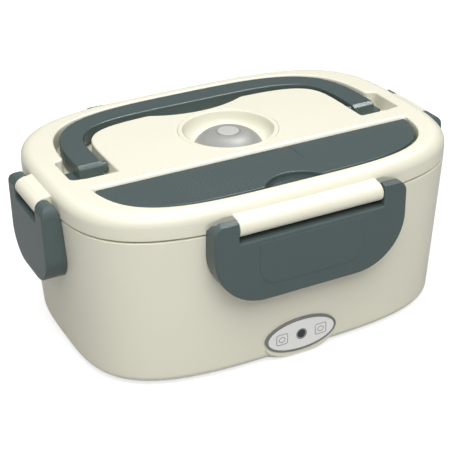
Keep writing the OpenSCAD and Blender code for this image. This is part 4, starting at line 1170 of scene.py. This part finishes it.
plug = [(0, LID_Z), (3.4, LID_Z), (3.7, LID_Z + 0.4), (3.7, BELL_FOOT), (BELL_R - 0.1, BELL_FOOT)]
groove_low = BELL_TOP - 1.1
groove = [(BUTTON_R + 0.75, BELL_TOP - 0.6), (BUTTON_R + 0.5, groove_low), (0, groove_low)]
bell = lathe("steam_bell", plug + bell_shoulder() + groove, VENT, segments=160)
fit(bell, "valve", "silicone", ["vent_valve"])

button_low = BELL_TOP - 1.4
button_profile = [(0, button_low), (BUTTON_R, button_low)]
button_profile += arc((BUTTON_R - 0.45, BELL_TOP - 0.45), 0.45, 0, 90, 5) + [(0, BELL_TOP + 0.05)]
button = lathe("bell_button", button_profile, VENT, segments=96)
# The button's paler silicone is painted light on its flat top.
fit(button, "valve", "silicone", finish=lit_button_silicone)

# %% [markdown]
# ## The badge
# An oval plate at the foot of the front carries the power lamp. It has a grey border and two plain
# marks, one on each side of the lamp. They could be painted with a mask in the shader, but thin
# raised frames stay crisp from near by, so each one is a real piece.

# %% Badge
BADGE_FACE, BADGE_BORDER = 73.4, 1.45


def on_badge(name, outline, width, rise):
    """Raised line of that width, along the inside of an outline."""
    low, high = BADGE_FACE - 0.2, BADGE_FACE + rise
    levels = [(low, 0), (high, 0), (high, -width), (low, -width)]
    frame_line = press(name, outline, levels, "front", closed=True)
    return fit(frame_line, "base", "badge_white", finish=badge_grey)


border_levels = pillow(71.4, BADGE_FACE - 0.08, 0.1, 0.25)
border = press("badge_border", ellipse(BADGE_A, BADGE_B, BADGE_Z), border_levels, "front")
fit(border, "base", "badge_white", finish=badge_grey)
face_outline = ellipse(BADGE_A - BADGE_BORDER, BADGE_B - BADGE_BORDER, BADGE_Z)
badge_face = press("badge_face", face_outline, pillow(72.45, BADGE_FACE, 0.1, 0.05), "front")
# The badge face's brighter white is painted light against the latch's shadow.
fit(badge_face, "base", "badge_white", ["badge_plate"])

# %% [markdown]
# The lamp is a dark lens with a low dome, inside a thin ring. The two marks are a plain rounded
# frame each, with an oval ring in it. They differ only in their place, so a loop makes them.

# %% Lamp and marks
LAMP_R, LAMP_RING_R, MARK_X = 2.4, 3.1, 11.5

on_badge("lamp_ring", ellipse(LAMP_RING_R, LAMP_RING_R, BADGE_Z, 64), 0.6, 0.1)
for side, x in (("left", -MARK_X), ("right", MARK_X)):
    on_badge(f"{side}_badge_frame", rounded_box(6.8, 6.4, (x, BADGE_Z - 0.2), 1.1, 64), 0.34, 0.05)
    on_badge(f"{side}_badge_ring", ellipse(1.9, 1.6, BADGE_Z - 0.4, 48) + np.array([x, 0]), 0.32, 0.05)
lens_profile = [(0, 62.0), (LAMP_R + 0.05, 62.0), (LAMP_R + 0.05, BADGE_FACE - 0.1)]
for a in np.radians(np.linspace(0, 86, 8)):
    lens_profile.append((LAMP_R * np.cos(a), BADGE_FACE + 0.25 * np.sin(a)))
lens_profile.append((0, BADGE_FACE + 0.26))
fit(lathe("lamp_lens", lens_profile, (0, BADGE_Z), "front", 64), "base", "lamp_dark", ["power_led"])

# %% [markdown]
# ## Socket cover
# A soft dark flap hangs over the two sockets at the back. It is a thin plate with a round barrel
# along its top for the pin, and a small pull tab at the bottom. As one mesh it would need a carved
# joint between barrel and plate, which nobody sees, so the three are pressed one by one.

# %% Socket cover
FLAP_FACE, FLAP_T = SOCKET_FACE + 0.3, 2


def flap_plan(x, z):
    return box_edge(x, z, (-FLAP_HALF, 4.5), (FLAP_HALF, FLAP_Z), 2.5)


def flap_barrel(y, z):
    return disc_edge(y, z, (FLAP_Y, FLAP_Z), FLAP_R)


flap_outline = trace(flap_plan, (-30, 2), (30, 25), 200, 0.3)
flap = press("socket_flap_sheet", flap_outline, pillow(FLAP_FACE, FLAP_FACE + FLAP_T, 0.3, 0.6), "front")
fit(turned(flap, 180), "socket_flap", "dark_rubber", ["socket_cover"])
barrel_outline = trace(flap_barrel, (72, 19), (78, 26), 48, 0.2)
barrel = press("socket_flap_barrel", barrel_outline, pillow(-FLAP_HALF, FLAP_HALF, 0.3, 0.3), "side")
fit(barrel, "socket_flap", "dark_rubber")
tab_levels = pillow(FLAP_FACE + 1, FLAP_FACE + 3.2, 0.1, 0.5)
tab = press("socket_flap_tab", rounded_box(12, 2, (0, 5.5), 0.8, 64), tab_levels, "front")
fit(turned(tab, 180), "socket_flap", "dark_rubber")

# %% [markdown]
# ## Under the lid
# With the lid off, the steel container with its rolled rim shows. It is deep and thin. A Solidify
# modifier could give a sheet its wall, but it would not make the rim. So its profile goes up the
# outside, over the rim and down the inside, and hoops lead it round the oval.

# %% Container
CONTAINER_A, CONTAINER_B, CONTAINER_LOW, CONTAINER_TOP = 97.0, 64.2, 22.3, 80
CONTAINER_WALL, STEEL_T, CONTAINER_ROUND = 2.5, 0.8, 6.0


def container_profile():
    wall, lip = CONTAINER_WALL, CONTAINER_TOP
    outside = [(wall + CONTAINER_ROUND, CONTAINER_LOW)]
    outside += foot_curve(wall, CONTAINER_LOW, CONTAINER_ROUND, 15, 90, 5)
    rim = [(wall, lip - 1.4), (wall - 0.4, lip - 1.1), (0.3, lip - 1.1), (0, lip - 0.7), (0.1, lip - 0.2)]
    rim += [(0.5, lip), (wall + 0.3, lip), (wall + STEEL_T, lip - 0.4)]
    inner_wall, inner_low = wall + STEEL_T, CONTAINER_LOW + STEEL_T
    return outside + rim + foot_curve(inner_wall, inner_low, CONTAINER_ROUND - STEEL_T, 90, 0, 6)


container = hoops("steel_tub", CONTAINER_A, CONTAINER_B, LID_SQUARE, container_profile())
fit(container, "container", "steel", ["food_container"])

# %% [markdown]
# The white tub round the container hangs on the casing's ledge by its flange. Its floor has a wide
# window, through which the heating plate reaches the container.

# %% Inner tub
TUB_TOP, TUB_FLOOR, TUB_WALL_INSET = 84.6, 22.0, 10.5


def tub_profile():
    outside = [(16, 20), (10.5, 20), (9.2, 20.6), (8.7, 22), (8.7, LEDGE_Z)]
    flange = [(2.7, LEDGE_Z), (2.5, LEDGE_Z + 0.2), (2.5, TUB_TOP - 0.3), (2.8, TUB_TOP)]
    inside = [(10.0, TUB_TOP), (TUB_WALL_INSET, TUB_TOP - 0.5)]
    return outside + flange + inside + foot_curve(TUB_WALL_INSET, TUB_FLOOR, 5.0, 90, 0, 6)


tub = hoops("inner_tub", RIM_A, RIM_B, LID_SQUARE, tub_profile())
carve(tub, press("window", rounded_box(128, 68, (0, 0), 0.5, 96), [(18, 0), (24, 0)]))
fit(tub, "base", "white_plastic", ["liner"])

# %% [markdown]
# Under the lid sit a white inner plate, with a ring that plugs the tub, and a soft seal with two
# lips. They follow the same oval, so they are hoops too. A small hole lets the steam up.

# %% Inner plate and seal
RING_OUT, RING_IN, RING_LOW = 9.3, 11.3, LID_Z - 4
STEAM_HOLE_R = 4
plate_low = LID_Z + 0.05
plate_profile = [(0, INNER_TOP - 0.02), (0, plate_low), (RING_OUT, plate_low)]
plate_profile += [(RING_OUT, RING_LOW + 0.4), (RING_OUT + 0.4, RING_LOW)]
plate_profile += [(RING_IN - 0.4, RING_LOW), (RING_IN, RING_LOW + 0.4)]
plate_profile += [(RING_IN, plate_low), (13, plate_low)]
inner_plate = hoops("lid_underside", LID_A - 2.3, LID_B - 2.3, LID_SQUARE, plate_profile)
steam_hole = [(0, 80), (STEAM_HOLE_R, 80), (STEAM_HOLE_R, 90), (0, 90)]
carve(inner_plate, lathe("steam_hole", steam_hole, VENT, segments=48))
fit(inner_plate, "lid", "white_plastic", ["lid_inner"])

outer_lip = [(5.2, 0), (5.0, -0.5), (5.6, -1.05), (6.4, -0.7)]
inner_lip = [(8.1, -0.7), (8.9, -1.05), (9.5, -0.5), (9.3, 0)]
seal_profile = [(inset, LID_Z + below) for inset, below in outer_lip + inner_lip]
seal = hoops("lid_gasket", RIM_A, RIM_B, LID_SQUARE, seal_profile, closed=True)
fit(seal, "lid", "silicone", ["lid_seal"])

# %% [markdown]
# ## The spoon
# The spoon could be a sheet that is pushed into shape with a lattice. It is simpler as one skin
# over rings along its length. Each ring is a thin lens whose middle dips in the bowl. The stem is
# wide at its end, narrows to the neck and rises towards the bowl, so that the bowl's rim is lifted
# and its bottom rests on the pocket's floor.

# %% Spoon
SPOON_Y, SPOON_LENGTH, SPOON_T, NECK = -48.0, 150.0, 1.2, 0.62
STEM_HALF, BOWL_SWELL, BOWL_DIP, SPOON_TIP = 5.5, 8.5, 3.2, 0.04


def spoon_half_width(t, u):
    if t < NECK:
        half = STEM_HALF * (1 + 0.35 * np.cos(np.pi / 2 * t / NECK) ** 2)
    else:
        half = STEM_HALF * (1 - u**6) + BOWL_SWELL * np.sin(np.pi * u) * (1 - 0.3 * u)
    return half * np.sqrt(1 - (1 - min(t / SPOON_TIP, 1)) ** 2)


def spoon_ring(t):
    """Ring at a share t of the length; u is the share of the bowl."""
    u = max(0.0, (t - NECK) / (1 - NECK))
    rise = BOWL_DIP * min(t / NECK, 1) ** 2
    a = np.linspace(0, 2 * np.pi, 40, endpoint=False)
    across = np.cos(a)
    lens = SPOON_T / 2 * np.sin(a)
    dip = BOWL_DIP * np.sin(np.pi * u) * (across**2 - 1)
    x = np.full(len(a), SPOON_LENGTH * (t - 0.5))
    y = SPOON_Y + spoon_half_width(t, u) * across
    z = CHANNEL_FLOOR + 0.1 + SPOON_T / 2 + rise + dip + lens
    return np.stack([x, y, z], axis=1)


spoon_steps = (1 - np.cos(np.linspace(0.02, np.pi - 0.03, 110))) / 2
spoon = skin("steel_spoon", [spoon_ring(t) for t in spoon_steps])
fit(spoon, "cutlery", "steel", ["spoon"], crease=60)

# %% [markdown]
# ## The underside
# The bottom cover closes the opening of the casing. Its four screws sit in round recesses, and
# four rubber feet stand out by a little over a millimetre. The feet could be plain discs, but a
# rounded edge shows where they meet the table, so they are turned.

# %% Bottom cover and feet
SCREW_PLACES = [(x, y) for x in (-74.0, 74.0) for y in (-40.0, 40.0)]
FOOT_PLACES = [(x, y) for x in (-78.0, 78.0) for y in (-20.0, 20.0)]
FOOT_R = 7.0


def recess(centre, radius, depth):
    radius, top = radius + 0.1, FOOT_Z + depth
    return lathe("recess", [(0, 0), (radius, 0), (radius, top), (0, top)], centre, segments=48)


gap = COVER_INSET + 0.1
under_cover_profile = [(gap, COVER_SEAT), (gap, FOOT_Z + 0.3), (gap + 0.3, FOOT_Z)]
under_cover = hoops("under_cover", RIM_A, RIM_B, BODY_SQUARE, under_cover_profile)
recesses = [recess(centre, 3.0, 1.0) for centre in SCREW_PLACES]
recesses += [recess(centre, FOOT_R, 0.9) for centre in FOOT_PLACES]
fit(carve(under_cover, *recesses), "base", "cream_plastic", ["bottom_cover"])
foot_profile = [(0, 0), (FOOT_R - 0.8, 0), (FOOT_R - 0.2, 0.25), (FOOT_R, 0.8), (FOOT_R, 2.2), (0, 2.2)]
for number, centre in enumerate(FOOT_PLACES, start=1):
    foot = lathe(f"foot_{number}", foot_profile, centre, segments=64)
    fit(foot, "base", "dark_rubber", ["rubber_feet"])

# %% [markdown]
# ## The floor
# The picture has a white ground with hardly a shadow. With more light the ground would turn white
# too, but the box would bleach with it. So the floor is a matt grey plane that adds a little light
# of its own, only where the camera looks at it directly: its shadow stays but the rest reaches
# white. It lies a tenth of a millimetre under the feet, so that they don't flicker through it.

# %% Floor
FLOOR_HALF, FLOOR_Z = 6.0, -0.0001
FLOOR_GREY, WHITE_LIGHT = (0.5, 0.5, 0.5, 1), (1, 1, 1, 1)


def floor_finish():
    """Matt grey with a glow for the camera, stronger from 0.15 m to 0.6 m away from the box."""
    finish = Finish("floor_white")
    matt = finish.add("ShaderNodeBsdfDiffuse", {"Color": FLOOR_GREY})
    middle = finish.add("ShaderNodeTexCoord", output="Object")
    away = finish.add("ShaderNodeVectorMath", {0: middle}, output="Value", operation="LENGTH")
    span = {"Value": away, "From Min": 0.15, "From Max": 0.6, "To Min": 0.68, "To Max": 1.0}
    level = finish.add("ShaderNodeMapRange", span)
    seen = finish.add("ShaderNodeLightPath", output="Is Camera Ray")
    glow = finish.add("ShaderNodeEmission", {"Color": WHITE_LIGHT, "Strength": level * seen})
    total = finish.add("ShaderNodeAddShader", {0: matt, 1: glow})
    finish.add("ShaderNodeOutputMaterial", {"Surface": total})
    return finish.owner


def add_floor():
    square = ((-1, -1), (1, -1), (1, 1), (-1, 1))
    corners = [(x * FLOOR_HALF, y * FLOOR_HALF, FLOOR_Z) for x, y in square]
    mesh = bpy.data.meshes.new("floor")
    mesh.from_pydata(corners, [], [(0, 1, 2, 3)])
    mesh.materials.append(floor_finish())
    floor = bpy.data.objects.new("floor", mesh)
    bpy.context.scene.collection.objects.link(floor)
    return floor


print("floor:", [round(v, 1) for v in add_floor().dimensions], "m")

# %% [markdown]
# ## The light
# The world shows plain white to the camera. To the box it is a sky, almost dark at the horizon and
# brighter above, which models the sides better than an even one would. A large soft lamp above the
# front shapes the box, and a weak one lights it from behind. The edge card is a lamp that only
# glossy surfaces see: it draws thin highlights on the slate edges without lighting the cream.


# %% World
def add_world(low, high):
    """White for the camera; for light and mirrors, from low at the horizon to high overhead."""
    world = bpy.data.worlds.new("studio")
    bpy.context.scene.world = world
    sky = Recipe(world)
    place = sky.add("ShaderNodeTexCoord", output="Generated")
    up = sky.add("ShaderNodeSeparateXYZ", {0: place}, output="Z")
    span = {"Value": up, "From Min": 0.0, "From Max": 1.0, "To Min": low, "To Max": high}
    level = sky.add("ShaderNodeMapRange", span)
    plain = sky.add("ShaderNodeBackground", {"Color": WHITE_LIGHT, "Strength": level})
    white = sky.add("ShaderNodeBackground", {"Color": WHITE_LIGHT, "Strength": 1.0})
    seen = sky.add("ShaderNodeLightPath", output="Is Camera Ray")
    total = sky.add("ShaderNodeMixShader", {0: seen, 1: plain, 2: white})
    sky.add("ShaderNodeOutputWorld", {"Surface": total})
    return world


print("world:", add_world(0.02, 0.64).name)

# %% [markdown]
# A lamp could be placed by its coordinates, but light is thought of as coming from a side and a
# height. So each lamp is given by two angles, as the camera is, and turned to face the box.

# %% Lamps
LAMP_DISTANCE = 1.3


def add_lamp(name, around, above, size, watts, only_mirrored=False):
    """Area lamp aimed at the box; around is in degrees from the front to the right."""
    place = AIM + LAMP_DISTANCE * direction(*np.radians([around, above]))
    lamp = bpy.data.objects.new(name, bpy.data.lights.new(name, "AREA"))
    lamp.data.shape, lamp.data.energy = "RECTANGLE", watts
    lamp.data.size, lamp.data.size_y = size
    lamp.location = place
    lamp.visible_diffuse = not only_mirrored
    lamp.rotation_euler = (AIM - place).to_track_quat("-Z", "Y").to_euler()
    bpy.context.scene.collection.objects.link(lamp)
    print(name, "at", [round(v, 2) for v in place])


add_lamp("key_lamp", -16, 57, (1.0, 1.0), 13.2)
add_lamp("back_lamp", -160, 52, (0.6, 0.6), 2.2)
add_lamp("edge_card", 118, 63, (0.6, 0.35), 20, only_mirrored=True)
bpy.context.scene.view_settings.view_transform = "Standard"
